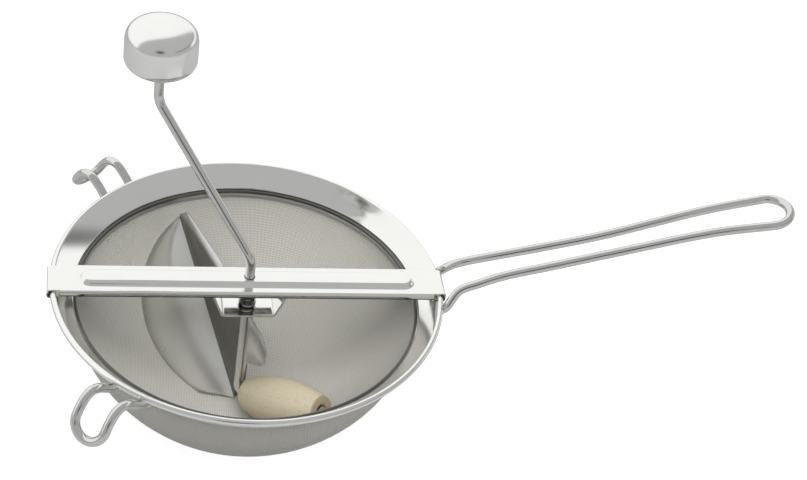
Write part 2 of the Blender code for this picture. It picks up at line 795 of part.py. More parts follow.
def make_spring():
    """One unbroken coil: a closer turn at each end and an even pitch between."""
    length = SPRING_TOP - SPRING_BOTTOM
    middle_pitch = (length - 2 * SPRING_END_PITCH) / (SPRING_TURNS - 2)
    count = round(SPRING_TURNS * SPRING_POINTS_PER_TURN)
    points = []
    for index in range(count + 1):
        turns = SPRING_TURNS * index / count
        low = min(turns, 1)
        high = max(turns - (SPRING_TURNS - 1), 0)
        rise = (low + high) * SPRING_END_PITCH + (turns - low - high) * middle_pitch
        angle = 2 * math.pi * turns
        points.append(Vector((SPRING_RADIUS * math.cos(angle), SPRING_RADIUS * math.sin(angle),
                              SPRING_BOTTOM + rise)))
    gaps = [(b - a).length - SPRING_WIRE
            for a, b in zip(points, points[SPRING_POINTS_PER_TURN:])]
    print("spring: least gap to itself", round(min(gaps) * 1000, 2), "mm")
    return wire_part("compression_spring", points, SPRING_WIRE, 1, SPRING_STEEL)


def make_spring_seats():
    top = washer_profile(SHAFT_HOLE_RADIUS, TOP_WASHER_RADIUS, TOP_WASHER_BOTTOM, TOP_WASHER_THICKNESS)
    turned_part("spring_top_washer", top, SMALL_STEPS, WASHER_STEEL)
    seat = washer_profile(WASHER_INNER, SEAT_WASHER_RADIUS, SEAT_WASHER_BOTTOM, SEAT_WASHER_THICKNESS)
    turned_part("spring_seat_washer", seat, SMALL_STEPS, WASHER_STEEL)


def make_retaining_clip(parent):
    """Open clip: three lugs reach into the shaft's groove, with wider bays between them."""
    lug = GROOVE_RADIUS + SEAT_GAP
    bay = SHAFT_RADIUS + SEAT_GAP * 2
    mouth = CLIP_MOUTH_ANGLE / 2
    outer, inner = [], []
    count = 24
    for step in range(count + 1):
        angle = mouth + (360 - 2 * mouth) * step / count
        along = Vector((math.cos(math.radians(angle)), math.sin(math.radians(angle))))
        near_lug = min(abs(angle - middle) for middle in (mouth, 180, 360 - mouth)) < CLIP_LUG_ANGLE / 2
        outer.append(along * CLIP_RADIUS)
        inner.append(along * (lug if near_lug else bay))
    mesh = prism_mesh("retaining_clip", outer + inner[::-1], CLIP_THICKNESS, CLIP_BOTTOM)
    return link_part("retaining_clip", mesh, SPRING_STEEL, parent)


# Crank: corners of the bent wire in its own upright plane
CRANK_OUT = flat_plan(CRANK_AZIMUTH)
ROLLER_OUT = -CRANK_OUT
SPINDLE_ALONG = ROLLER_OUT * math.cos(math.radians(SPINDLE_TILT)) + UP * math.sin(math.radians(SPINDLE_TILT))
SPINDLE_START = SPINDLE_BEND * math.tan(math.radians(90 + SPINDLE_TILT) / 2)
ROLLER_WASHER_START = SPINDLE_START + SEAT_GAP
ROLLER_START = ROLLER_WASHER_START + SMALL_WASHER_THICKNESS + SEAT_GAP
ROLLER_END = ROLLER_START + ROLLER_LENGTH
END_WASHER_START = ROLLER_END - COUNTERBORE_DEPTH + SEAT_GAP
ROLLER_NUT_START = END_WASHER_START + SMALL_WASHER_THICKNESS + SEAT_GAP
SPINDLE_END = ROLLER_NUT_START + PUSH_NUT_THICKNESS + PUSH_NUT_DISH + SPINDLE_TAIL
KNOB_BOTTOM = above_rim(KNOB_ABOVE_RIM)
KNOB_NUT_BOTTOM = KNOB_BOTTOM + BUSHING_LENGTH + SEAT_GAP
PIN_TOP = KNOB_NUT_BOTTOM + PUSH_NUT_THICKNESS + PUSH_NUT_DISH + SPINDLE_TAIL
KNOB_WASHER_BOTTOM = KNOB_BOTTOM - SEAT_GAP - SMALL_WASHER_THICKNESS
STOP_TOP = KNOB_WASHER_BOTTOM - SEAT_GAP


def barrel_radius(share):
    """The roller's radius along its length, from -1 at one end to 1 at the other: an arc of a circle."""
    rise = ROLLER_RADIUS - ROLLER_END_RADIUS
    half = ROLLER_LENGTH / 2
    sweep = (half ** 2 + rise ** 2) / (2 * rise)
    return ROLLER_RADIUS - sweep + math.sqrt(sweep ** 2 - (half * share) ** 2)


def spindle_height():
    """Height of the spindle's corner on the shaft that leaves the running gap between roller and mesh."""
    tilt = math.radians(SPINDLE_TILT)
    mesh_line = inside_bowl(RUN_GAP)
    highest = 0
    for step in range(-20, 21):
        share = step / 20
        along = (ROLLER_START + ROLLER_END) / 2 + share * ROLLER_LENGTH / 2
        radius = barrel_radius(share)
        reach = along * math.cos(tilt) + radius * math.sin(tilt)
        drop = along * math.sin(tilt) - radius * math.cos(tilt)
        for low, high in zip(mesh_line, mesh_line[1:]):
            if low.x <= reach <= high.x:
                floor = low.y + (high.y - low.y) * (reach - low.x) / (high.x - low.x)
                highest = max(highest, floor - drop)
    return highest


print("spindle corner height", round(spindle_height() * 1000, 3), "mm")


def make_crank_rod():
    """One wire: knob pin, sloping arm, shaft and roller spindle, with a stop collar and a clip groove."""
    corner_low = UP * spindle_height()
    corners = [
        CRANK_OUT * CRANK_THROW + UP * PIN_TOP,
        CRANK_OUT * CRANK_THROW + UP * above_rim(STUB_ABOVE_RIM + ARM_RISE),
        UP * above_rim(STUB_ABOVE_RIM),
        corner_low,
        corner_low + SPINDLE_ALONG * SPINDLE_END,
    ]
    points = filleted(corners, [ARM_BEND, ARM_BEND, SPINDLE_BEND], 7)
    rod = as_mesh(wire_part("crank_rod", points, CRANK_WIRE, 4, POLISHED_WIRE, CRANK_PIVOT))
    groove = washer_profile(GROOVE_RADIUS, SHAFT_RADIUS + SEAT_GAP, CLIP_BOTTOM - SEAT_GAP,
                            CLIP_THICKNESS + 2 * SEAT_GAP)
    groove_tool = cutter("clip_groove", turned_mesh("clip_groove", groove))
    turn(groove_tool, SMALL_STEPS)
    combine(rod, groove_tool, "DIFFERENCE")
    collar = [(0, STOP_TOP), (STOP_RADIUS - SEAT_GAP, STOP_TOP), (STOP_RADIUS, STOP_TOP - STOP_HEIGHT / 3),
              (STOP_RADIUS, STOP_TOP - STOP_HEIGHT * 2 / 3), (SHAFT_RADIUS, STOP_TOP - STOP_HEIGHT),
              (0, STOP_TOP - STOP_HEIGHT)]
    collar_tool = cutter("stop_collar", turned_mesh("stop_collar", collar, closed=False))
    collar_tool.location = CRANK_OUT * CRANK_THROW
    turn(collar_tool, SMALL_STEPS)
    combine(rod, collar_tool, "UNION")
    smooth(rod.data, 40)
    return rod


# Blade: the web stands in a plane through the shaft, which lies in a half round groove in it
WEB_OUT = flat_plan(BLADE_AZIMUTH)
WEB_FAR = flat_plan(BLADE_AZIMUTH - 90)
GROOVE_MIDDLE = SHAFT_RADIUS + SEAT_GAP + BLADE_SHEET / 2
BLADE_GROOVE_STEPS = 8


def fold_height(reach):
    return FOLD_FOOT_HEIGHT + reach * math.tan(math.radians(FOLD_SLOPE))


def make_web():
    """The upright plate: its plan has the groove, and its elevation is cut to the blade's outline."""
    plan = [Vector((RIM_RADIUS, 0))]
    for step in range(BLADE_GROOVE_STEPS + 1):
        angle = math.pi * step / BLADE_GROOVE_STEPS
        plan.append(Vector((math.cos(angle), math.sin(angle))) * GROOVE_MIDDLE)
    plan.append(Vector((-RIM_RADIUS / 2, 0)))
    outline = sheet_outline(plan, BLADE_SHEET)
    web = bpy.data.objects.new("web", prism_mesh("web", outline, RIM_HEIGHT, 0))
    frame = Matrix((
        (WEB_OUT.x, WEB_FAR.x, 0, 0),
        (WEB_OUT.y, WEB_FAR.y, 0, 0),
        (0, 0, 1, 0),
        (0, 0, 0, 1),
    ))
    web.data.transform(frame)
    web.data.flip_normals()
    PARTS.objects.link(web)
    shaft_edge = GROOVE_MIDDLE - BLADE_SHEET / 2
    groove_foot = spindle_height() + SPINDLE_START + CRANK_WIRE
    tab_bottom = below_rim(TAB_BOTTOM_BELOW_RIM)
    neck = below_rim(BLADE_NECK_BELOW_RIM)
    top = below_rim(BLADE_TOP_BELOW_RIM)
    tip = CLAMP_RADIUS
    corners = [
        Vector((tip, fold_height(tip))),
        Vector((BLADE_TOP_REACH, top)),
        Vector((BLADE_SHOULDER_REACH, top)),
        Vector((BLADE_NECK_REACH, neck)),
        Vector((-BLADE_NECK_REACH, neck)),
        Vector((-TAB_REACH, neck - BLADE_NECK_REACH / 3)),
        Vector((-TAB_REACH, tab_bottom + TAB_REACH / 2)),
        Vector((-GROOVE_MIDDLE * 2, tab_bottom)),
        Vector((-GROOVE_MIDDLE - BLADE_SHEET, groove_foot)),
        Vector((shaft_edge, groove_foot)),
        Vector((shaft_edge, fold_height(shaft_edge))),
    ]
    bend = BLADE_NECK_REACH / 2
    radii = [FOLD_RADIUS, bend / 2, bend, bend, FOLD_RADIUS, bend / 2, bend, FOLD_RADIUS, 0, 0, 0]
    elevation = filleted_loop(corners, radii, 4)
    trim = prism_mesh("web_outline", elevation, 2 * TAB_REACH, -TAB_REACH)
    upright = Matrix((
        (WEB_OUT.x, 0, WEB_FAR.x, 0),
        (WEB_OUT.y, 0, WEB_FAR.y, 0),
        (0, 1, 0, 0),
        (0, 0, 0, 1),
    ))
    combine(web, cutter("web_outline", trim, upright), "INTERSECT")
    return as_mesh(web)


def make_wing():
    """The sloping plate beyond the fold, still too large; the bowl's inside trims it later."""
    slope = math.radians(FOLD_SLOPE)
    along = WEB_OUT * math.cos(slope) + UP * math.sin(slope)
    level = flat_plan(WING_AZIMUTH)
    normal = level.cross(along).normalized()
    foot = UP * FOLD_FOOT_HEIGHT
    slab = prism_mesh("wing", [(0, 0), (2 * RIM_RADIUS, 0), (2 * RIM_RADIUS, RIM_RADIUS), (0, RIM_RADIUS)],
                      BLADE_SHEET, -BLADE_SHEET / 2)
    frame = Matrix((
        (along.x, level.x, normal.x, foot.x),
        (along.y, level.y, normal.y, foot.y),
        (along.z, level.z, normal.z, foot.z),
        (0, 0, 0, 1),
    ))
    slab.transform(frame)
    if frame.determinant() < 0:
        slab.flip_normals()
    return cutter("wing", slab), along


def make_pressing_blade():
    """Web and wing joined at the rounded fold, then cut to run just clear of the mesh all the way."""
    blade = make_web()
    wing, along = make_wing()
    combine(blade, wing, "UNION")
    foot = UP * FOLD_FOOT_HEIGHT
    ends = [foot + along * SHAFT_RADIUS, foot + along * 2 * RIM_RADIUS]
    bend = wire_curve("fold", ends, 2 * FOLD_RADIUS, 3)
    bend_object = bpy.data.objects.new("fold", bend)
    CUTTERS.objects.link(bend_object)
    fold = as_mesh(bend_object)
    fold.hide_render = True
    fold.display_type = "WIRE"
    combine(blade, fold, "UNION")
    limit = CLAMP_RADIUS - CLAMP_SHEET / 2 - RUN_GAP
    profile = [(min(point.x, limit), point.y) for point in inside_bowl(BLADE_GAP)]
    profile.append((0, profile[-1][1]))
    inside = cutter("bowl_inside", turned_mesh("bowl_inside", profile, closed=False))
    turn(inside, BOWL_STEPS)
    combine(blade, inside, "INTERSECT")
    blade.name = "pressing_blade"
    blade.parent = CRANK_PIVOT
    blade.data.materials.clear()
    blade.data.materials.append(POLISHED_STEEL)
    smooth(blade.data)
    return blade


def dished_nut(inner, outer, bottom):
    """Push-on nut: a thin dished ring whose inner edge bites the wire."""
    top = bottom + PUSH_NUT_THICKNESS
    middle = (inner + outer) / 2
    return [(inner, top + PUSH_NUT_DISH), (middle, top), (outer, top),
            (outer, bottom), (middle, bottom), (inner, bottom + PUSH_NUT_DISH)]


def make_roller():
    """Barrel of beech with a bore and a counterbore, turning on the spindle between washers."""
    bore = SHAFT_RADIUS + ROLLER_BORE_GAP
    profile = []
    stations = 10
    for step in range(stations + 1):
        share = 1 - 2 * step / stations
        along = (ROLLER_START + ROLLER_END) / 2 + share * ROLLER_LENGTH / 2
        profile.append((barrel_radius(share), along))
    first, last = profile[0], profile[-1]
    profile[0] = (first[0], first[1] - ROLLER_EDGE)
    profile.insert(0, (first[0] - ROLLER_EDGE, first[1]))
    profile[-1] = (last[0], last[1] + ROLLER_EDGE)
    profile.append((last[0] - ROLLER_EDGE, last[1]))
    floor = ROLLER_END - COUNTERBORE_DEPTH
    profile += [(bore, ROLLER_START), (bore, floor), (COUNTERBORE_RADIUS, floor),
                (COUNTERBORE_RADIUS, ROLLER_END)]
    turned_part("wood_roller", profile, ROLLER_STEPS, BEECH, ROLLER_PIVOT)
    inner = washer_profile(WASHER_INNER, ROLLER_WASHER_RADIUS, ROLLER_WASHER_START, SMALL_WASHER_THICKNESS)
    turned_part("roller_inner_washer", inner, SMALL_STEPS, WASHER_STEEL, ROLLER_PIVOT)
    outer = washer_profile(WASHER_INNER, END_WASHER_RADIUS, END_WASHER_START, SMALL_WASHER_THICKNESS)
    turned_part("roller_outer_washer", outer, SMALL_STEPS, WASHER_STEEL, ROLLER_PIVOT)
    nut = dished_nut(WASHER_INNER, END_WASHER_RADIUS, ROLLER_NUT_START)
    turned_part("roller_push_nut", nut, SMALL_STEPS, SPRING_STEEL, ROLLER_PIVOT)


def knob_midline():
    """Middle line of the shell: a full rounded top, an upright side and a turned in lip."""
    radius = KNOB_RADIUS - KNOB_SHEET / 2
    half = KNOB_SHEET / 2
    top = KNOB_HEIGHT - half - KNOB_SHOULDER
    line = full_quarter(radius, KNOB_SHOULDER, KNOB_FULLNESS_SHARE, 0, KNOB_TOP_SEGMENTS)
    shoulder = [Vector((point.x, top + point.y)) for point in line]
    side = [shoulder[-1], Vector((radius, half)), Vector((KNOB_LIP_RADIUS, half))]
    return shoulder[:-1] + filleted(side, [KNOB_BOTTOM_EDGE], 4)


def make_knob():
    """Drawn steel shell closed by a plate, on a plain bushing that turns on the crank's pin."""
    profile = to_axis(sheet_outline(knob_midline(), KNOB_SHEET))
    turned_part("knob_shell", profile, KNOB_STEPS, KNOB_STEEL, KNOB_PIVOT, closed=False)
    bushing_inner = SHAFT_RADIUS + SHAFT_HOLE_GAP
    plate_bottom = KNOB_SHEET + SEAT_GAP
    plate_radius = KNOB_RADIUS - KNOB_BOTTOM_EDGE
    plate = washer_profile(BUSHING_RADIUS + SEAT_GAP, plate_radius, plate_bottom, KNOB_PLATE_SHEET)
    turned_part("knob_base_plate", plate, KNOB_STEPS, KNOB_STEEL, KNOB_PIVOT)
    flange = plate_bottom + KNOB_PLATE_SHEET + SEAT_GAP
    bushing = [(bushing_inner, BUSHING_LENGTH), (BUSHING_RADIUS, BUSHING_LENGTH),
               (BUSHING_RADIUS, flange + KNOB_PLATE_SHEET * 2),
               (BUSHING_RADIUS + KNOB_PLATE_SHEET * 2, flange + KNOB_PLATE_SHEET),
               (BUSHING_RADIUS + KNOB_PLATE_SHEET * 2, flange),
               (BUSHING_RADIUS, flange), (BUSHING_RADIUS, 0), (bushing_inner, 0)]
    turned_part("knob_bushing", bushing, SMALL_STEPS, NYLON, KNOB_PIVOT)
    washer = washer_profile(WASHER_INNER, KNOB_WASHER_RADIUS, KNOB_WASHER_BOTTOM - KNOB_BOTTOM,
                            SMALL_WASHER_THICKNESS)
    turned_part("knob_washer", washer, SMALL_STEPS, WASHER_STEEL, KNOB_PIVOT)
    nut = dished_nut(WASHER_INNER, BUSHING_RADIUS, KNOB_NUT_BOTTOM - KNOB_BOTTOM)
    turned_part("knob_push_nut", nut, SMALL_STEPS, SPRING_STEEL, KNOB_PIVOT)


clear_scene()
PARTS = make_collection("food_mill")
CUTTERS = make_collection("cutters")

POLISHED_STEEL = make_material("polished_steel", (0.78, 0.78, 0.76), 0.12, 1.0)
POLISHED_WIRE = make_material("polished_wire", (0.76, 0.76, 0.75), 0.14, 1.0)
KNOB_STEEL = make_material("knob_steel", (0.78, 0.78, 0.76), 0.16, 1.0)
WIRE_MESH = make_material("wire_mesh", (0.55, 0.54, 0.51), 0.45, 1.0)
WASHER_STEEL = make_material("washer_steel", (0.60, 0.60, 0.59), 0.30, 1.0)
SPRING_STEEL = make_material("spring_steel", (0.22, 0.22, 0.23), 0.35, 1.0)
BEECH = make_material("beech", (0.66, 0.54, 0.37), 0.60, 0.0)
NYLON = make_material("nylon", (0.85, 0.84, 0.80), 0.45, 0.0)

CRANK_PIVOT = pivot("crank_pivot", (0, 0, 0))
KNOB_PIVOT = pivot("knob_pivot", CRANK_OUT * CRANK_THROW + UP * KNOB_BOTTOM)
ROLLER_PIVOT = pivot("roller_pivot", UP * spindle_height(), UP.rotation_difference(SPINDLE_ALONG))

make_rim_band()
make_mesh_bowl()
make_mesh_clamp_ring()
make_handle_loop()
make_hook("hook_front", -HOOK_AZIMUTH)
make_hook("hook_back", HOOK_AZIMUTH)
make_cross_bar()
make_bearing_bracket()
make_spring()
make_spring_seats()
make_retaining_clip(CRANK_PIVOT)
make_crank_rod()
make_pressing_blade()
make_roller()
make_knob()
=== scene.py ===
"""Looks of a hand cranked food mill: bright steel sheet and wire, a woven mesh bowl and a beech roller."""
import math

import bmesh
import bpy
from mathutils import Matrix, Vector


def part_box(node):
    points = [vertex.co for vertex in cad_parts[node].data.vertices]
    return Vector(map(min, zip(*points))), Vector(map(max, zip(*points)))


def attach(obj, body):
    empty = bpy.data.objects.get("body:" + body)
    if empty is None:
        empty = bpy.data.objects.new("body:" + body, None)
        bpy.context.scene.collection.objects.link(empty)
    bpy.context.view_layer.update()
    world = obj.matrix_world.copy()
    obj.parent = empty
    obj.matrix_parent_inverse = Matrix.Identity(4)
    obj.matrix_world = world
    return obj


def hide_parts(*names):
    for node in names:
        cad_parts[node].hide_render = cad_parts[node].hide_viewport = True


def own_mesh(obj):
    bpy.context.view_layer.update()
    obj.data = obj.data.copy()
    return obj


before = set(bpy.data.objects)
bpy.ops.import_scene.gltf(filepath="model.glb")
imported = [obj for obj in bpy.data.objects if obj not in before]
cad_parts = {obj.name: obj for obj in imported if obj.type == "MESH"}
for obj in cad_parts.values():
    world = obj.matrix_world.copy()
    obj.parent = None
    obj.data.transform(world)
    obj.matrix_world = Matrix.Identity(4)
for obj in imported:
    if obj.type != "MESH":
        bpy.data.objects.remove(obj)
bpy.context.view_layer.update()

# The rim band is bright steel sheet spun into a sloping flange. Its outer edge is rolled into a bead, and
# a short collar hangs from its inner edge to hold the bowl.
rim_top = 0.0961
rim_radius = 0.110
band_sheet = 0.0008
bead_radius = 0.0018
bead_middle = bead_radius - band_sheet / 2
bead_centre = Vector((rim_radius - bead_radius, rim_top - bead_radius))
bead_curl = 245
bead_steps = 24
collar_radius = 0.0976
collar_length = 0.0048
flange_drop = 0.0110
flange_low = rim_top - flange_drop
flange_knee = 0.0010
flange_foot = Vector((collar_radius, flange_low))
flange_run = bead_centre - flange_foot
flange_slope = math.atan2(flange_run.y, flange_run.x) + math.asin(bead_middle / flange_run.length)
slight_turn = 0.02
merge_distance = 0.00002
sharp_angle = math.radians(38)
noise_span = (0.3, 0.7)
steel_colour = (0.94, 0.94, 0.925)
smudge_colour = (0.90, 0.90, 0.885)
band_gloss = (0.05, 0.13)
band_smudges = (38.0, 5.0, 0.6)
ring_marks = (2600.0, 2.0)
ring_relief = (0.10, 0.00003)


def rounded(corners, radii, steps):
    """A run of straight lines whose inner corners are rounded."""
    points = [corners[0]]
    for before, corner, after, radius in zip(corners, corners[1:], corners[2:], radii):
        into = (corner - before).normalized()
        out = (after - corner).normalized()
        turn = into.angle(out)
        if radius == 0 or turn < slight_turn:
            points.append(corner)
            continue
        tangent = radius * math.tan(turn / 2)
        centre = corner + (out - into).normalized() * (radius / math.cos(turn / 2))
        start = corner - into * tangent - centre
        end = corner + out * tangent - centre
        for step in range(steps + 1):
            share = step / steps
            lead = math.sin((1 - share) * turn) / math.sin(turn)
            trail = math.sin(share * turn) / math.sin(turn)
            points.append(centre + start * lead + end * trail)
    points.append(corners[-1])
    return points


def spun(section, steps=192, closed=False):
    """Spin a half section, given as radius and height, once round the upright axis."""
    form = bmesh.new()
    verts = [form.verts.new((point[0], 0, point[1])) for point in section]
    ends = zip(verts, verts[1:] + verts[:1]) if closed else zip(verts, verts[1:])
    edges = [form.edges.new(pair) for pair in ends]
    bmesh.ops.spin(form, geom=verts + edges, cent=(0, 0, 0), axis=(0, 0, 1), angle=2 * math.pi,
                   steps=steps, use_merge=True)
    bmesh.ops.remove_doubles(form, verts=form.verts, dist=merge_distance)
    bmesh.ops.recalc_face_normals(form, faces=form.faces)
    return form


def new_object(name, form):
    """Link a finished form to the scene as an object of its own."""
    mesh = bpy.data.meshes.new(name)
    form.to_mesh(mesh)
    form.free()
    thing = bpy.data.objects.new(name, mesh)
    bpy.context.scene.collection.objects.link(thing)
    return thing


def soften(mesh):
    """Shade a mesh smooth, apart from its sharp edges."""
    mesh.shade_smooth()
    mesh.set_sharp_from_angle(angle=sharp_angle)


def make_piece(name, form, material, body, slot, *nodes):
    """Turn a finished form into a piece that rides on a body and stands for its solid."""
    piece = new_object(name, form)
    piece.data.materials.append(material)
    soften(piece.data)
    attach(piece, body)
    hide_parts(*nodes)
    return piece


def give_wall(piece, thickness):
    """Give a sheet its thickness about its middle surface."""
    wall = piece.modifiers.new("wall", "SOLIDIFY")
    wall.thickness = thickness
    wall.offset = 0
    wall.use_even_offset = True


def add_node(tree, kind, **settings):
    """Add a node and set its properties."""
    node = tree.nodes.new(kind)
    for key, value in settings.items():
        setattr(node, key, value)
    return node


def object_place(tree):
    """The place on a piece, which its patterns follow."""
    return add_node(tree, "ShaderNodeTexCoord").outputs["Object"]


def split(tree, vector):
    """The three parts of a vector, by their letters."""
    node = add_node(tree, "ShaderNodeSeparateXYZ")
    tree.links.new(vector, node.inputs[0])
    return node.outputs


def blend_colours(tree, factor, low, high):
    """Mix two colours, each given by its values or by a socket."""
    mix = add_node(tree, "ShaderNodeMix", data_type="RGBA")
    for socket, colour in ((mix.inputs[6], low), (mix.inputs[7], high)):
        if isinstance(colour, tuple):
            socket.default_value = (*colour, 1)
        else:
            tree.links.new(colour, socket)
    tree.links.new(factor, mix.inputs[0])
    return mix.outputs[2]


def remap(tree, value, old_span, new_span=(0, 1), shape="LINEAR"):
    """Bring a value from one span into another."""
    node = add_node(tree, "ShaderNodeMapRange", interpolation_type=shape)
    for label, end in zip(("From Min", "From Max", "To Min", "To Max"), (*old_span, *new_span)):
        node.inputs[label].default_value = end
    tree.links.new(value, node.inputs["Value"])
    return node.outputs["Result"]


def spread(tree, factor, low, high):
    """Bring a noise factor into a narrow range of values."""
    return remap(tree, factor, noise_span, (low, high))


def between(tree, value, low, high):
    """Nought at the first value, one at the second, and soft between them."""
    return remap(tree, value, (low, high), shape="SMOOTHSTEP")


def noise(tree, vector, scale, detail=3.0, roughness=0.5):
    texture = add_node(tree, "ShaderNodeTexNoise")
    texture.inputs["Scale"].default_value = scale
    texture.inputs["Detail"].default_value = detail
    texture.inputs["Roughness"].default_value = roughness
    tree.links.new(vector, texture.inputs["Vector"])
    return texture.outputs["Fac"]


def bumped(tree, shader, height, strength, distance):
    bump = add_node(tree, "ShaderNodeBump")
    bump.inputs["Strength"].default_value = strength
    bump.inputs["Distance"].default_value = distance
    tree.links.new(height, bump.inputs["Height"])
    tree.links.new(bump.outputs["Normal"], shader.inputs["Normal"])


def paint(tree, shader, colour, factor, gloss):
    """Give a surface its colour, and a roughness that follows a noise factor."""
    tree.links.new(colour, shader.inputs["Base Color"])
    tree.links.new(spread(tree, factor, *gloss), shader.inputs["Roughness"])


def new_material(name):
    material = bpy.data.materials.new(name)
    material.use_nodes = True
    tree = material.node_tree
    return material, tree, tree.nodes["Principled BSDF"]


def new_metal(name):
    """A bare metal, with the place on the piece that its marks follow."""
    material, tree, shader = new_material(name)
    shader.inputs["Metallic"].default_value = 1.0
    return material, tree, shader, object_place(tree)


def turned_steel():
    """Bright steel with polishing marks that run round the upright axis."""
    material, tree, shader, place = new_metal("band_steel")
    parts = split(tree, place)
    flat = add_node(tree, "ShaderNodeCombineXYZ")
    tree.links.new(parts["X"], flat.inputs["X"])
    tree.links.new(parts["Y"], flat.inputs["Y"])
    radius = add_node(tree, "ShaderNodeVectorMath", operation="LENGTH")
    tree.links.new(flat.outputs[0], radius.inputs[0])
    rings = add_node(tree, "ShaderNodeCombineXYZ")
    tree.links.new(radius.outputs["Value"], rings.inputs["X"])
    tree.links.new(parts["Z"], rings.inputs["Z"])
    smudges = noise(tree, place, *band_smudges)
    lines = noise(tree, rings.outputs[0], *ring_marks)
    paint(tree, shader, blend_colours(tree, smudges, steel_colour, smudge_colour), smudges, band_gloss)
    bumped(tree, shader, lines, *ring_relief)
    return material


def on_circle(angle, radius):
    return Vector((math.cos(angle), math.sin(angle))) * radius


def band_line():
    """Middle line of the band: collar, sloping flange and the curl of the bead."""
    start = flange_slope + math.pi / 2
    collar_foot = flange_foot - Vector((0, collar_length))
    bead_start = bead_centre + on_circle(start, bead_middle)
    line = rounded([collar_foot, flange_foot, bead_start], [flange_knee], steps=6)
    for step in range(1, bead_steps + 1):
        angle = start - math.radians(bead_curl) * step / bead_steps
        line.append(bead_centre + on_circle(angle, bead_middle))
    return line


rim_band = make_piece("rim_band_sheet", spun(band_line()), turned_steel(), "sieve", "polished_sheet",
                      "rim_band")
give_wall(rim_band, band_sheet)

# The bowl is a disc of woven wire cloth drawn into a deep bowl with a small flat under it. Its wires run
# in a square weave that is squeezed together towards the hem.
mesh_wall = 0.0009
hem_radius = 0.09645
hem_below_band = 0.0012
hem_length = 0.0026
hem_top = flange_low - hem_below_band
curve_top = hem_top - hem_length
base_flat = 0.0180
fullness = 1.78
bowl_steps = 56
axis_reach = 0.00001
weave_pitch = 0.00105
wire_share = 0.46
wire_swing = 0.32
wire_lift = 0.6
cloth_cover = (0.05, 0.45)
cloth_colour = (0.72, 0.705, 0.655)
# Colour of the painted shade in the gaps and dips between the wires.
cloth_hole_shade_colour = (0.44, 0.43, 0.395)
cloth_gloss = (0.38, 0.52)
cloth_patches = 30.0
cloth_relief = (0.9, weave_pitch * 0.4)


def bowl_line(steps):
    """Middle line of the cloth from the centre of its flat base up to its hem."""
    share = (base_flat / hem_radius) ** fullness
    base = mesh_wall / 2
    depth = (curve_top - base) / (1 - share) ** (1 / fullness)
    start = math.asin(math.sqrt(share))
    line = [Vector((0, base)), Vector((base_flat * 0.5, base))]
    for step in range(steps + 1):
        angle = start + (math.pi / 2 - start) * step / steps
        out = hem_radius * math.sin(angle) ** (2 / fullness)
        down = depth * max(math.cos(angle), 0) ** (2 / fullness)
        line.append(Vector((out, curve_top - down)))
    line.append(Vector((hem_radius, hem_top)))
    return line


def lay_weave(form, line):
    """Give the cloth its flat pattern: each point keeps its bearing and its distance along the curve."""
    reach = [0.0]
    for low, high in zip(line, line[1:]):
        reach.append(reach[-1] + (high - low).length)
    pattern = form.loops.layers.uv.new("weave")
    for face in form.faces:
        for loop in face.loops:
            place = loop.vert.co
            out = Vector((place.x, place.y))
            station = Vector((out.length, place.z))
            nearest = min(range(len(line)), key=lambda i: (line[i] - station).length)
            bearing = out.normalized() if out.length > axis_reach else out
            loop[pattern].uv = bearing * reach[nearest]


def maths(tree, operation, first, second=None):
    """One sum on two values, each a number or a socket."""
    node = add_node(tree, "ShaderNodeMath", operation=operation)
    for socket, value in zip(node.inputs, (first, second)):
        if value is None:
            continue
        if isinstance(value, (int, float)):
            socket.default_value = value
        else:
            tree.links.new(value, socket)
    return node.outputs[0]


def wire_height(tree, across, along, sign):
    """Height of one set of wires, which pass over and under the other set in turn."""
    row = maths(tree, "FLOOR", across)
    offset = maths(tree, "SUBTRACT", maths(tree, "FRACT", across), 0.5)
    side = maths(tree, "DIVIDE", offset, wire_share / 2)
    round_part = maths(tree, "SUBTRACT", 1.0, maths(tree, "MULTIPLY", side, side))
    body = maths(tree, "SQRT", maths(tree, "MAXIMUM", round_part, 0.0))
    phase = maths(tree, "MULTIPLY", maths(tree, "ADD", maths(tree, "SUBTRACT", along, 0.5), row), math.pi)
    swing = maths(tree, "MULTIPLY", maths(tree, "COSINE", phase), wire_swing * sign)
    return maths(tree, "MULTIPLY", body, maths(tree, "ADD", swing, wire_lift))


def woven_cloth():
    """Dull drawn wire in a plain weave, with painted shade in the gaps and dips between the wires."""
    material, tree, shader = new_material("woven_cloth")
    cells = add_node(tree, "ShaderNodeVectorMath", operation="SCALE")
    cells.inputs["Scale"].default_value = 1 / weave_pitch
    tree.links.new(add_node(tree, "ShaderNodeTexCoord").outputs["UV"], cells.inputs[0])
    parts = split(tree, cells.outputs[0])
    warp = wire_height(tree, parts["X"], parts["Y"], 1)
    weft = wire_height(tree, parts["Y"], parts["X"], -1)
    height = maths(tree, "MAXIMUM", warp, weft)
    # Painted shade: the colour goes darker where the wires lie low, in the gaps and dips of the weave.
    cover = remap(tree, height, cloth_cover)
    patches = noise(tree, object_place(tree), cloth_patches)
    paint(tree, shader, blend_colours(tree, cover, cloth_hole_shade_colour, cloth_colour), patches, cloth_gloss)
    bumped(tree, shader, height, *cloth_relief)
    return material


cloth_line = bowl_line(bowl_steps)
bowl_form = spun(cloth_line)
lay_weave(bowl_form, cloth_line)
mesh_bowl = make_piece("mesh_bowl_cloth", bowl_form, woven_cloth(), "sieve", "wire_mesh", "mesh_bowl")
give_wall(mesh_bowl, mesh_wall)
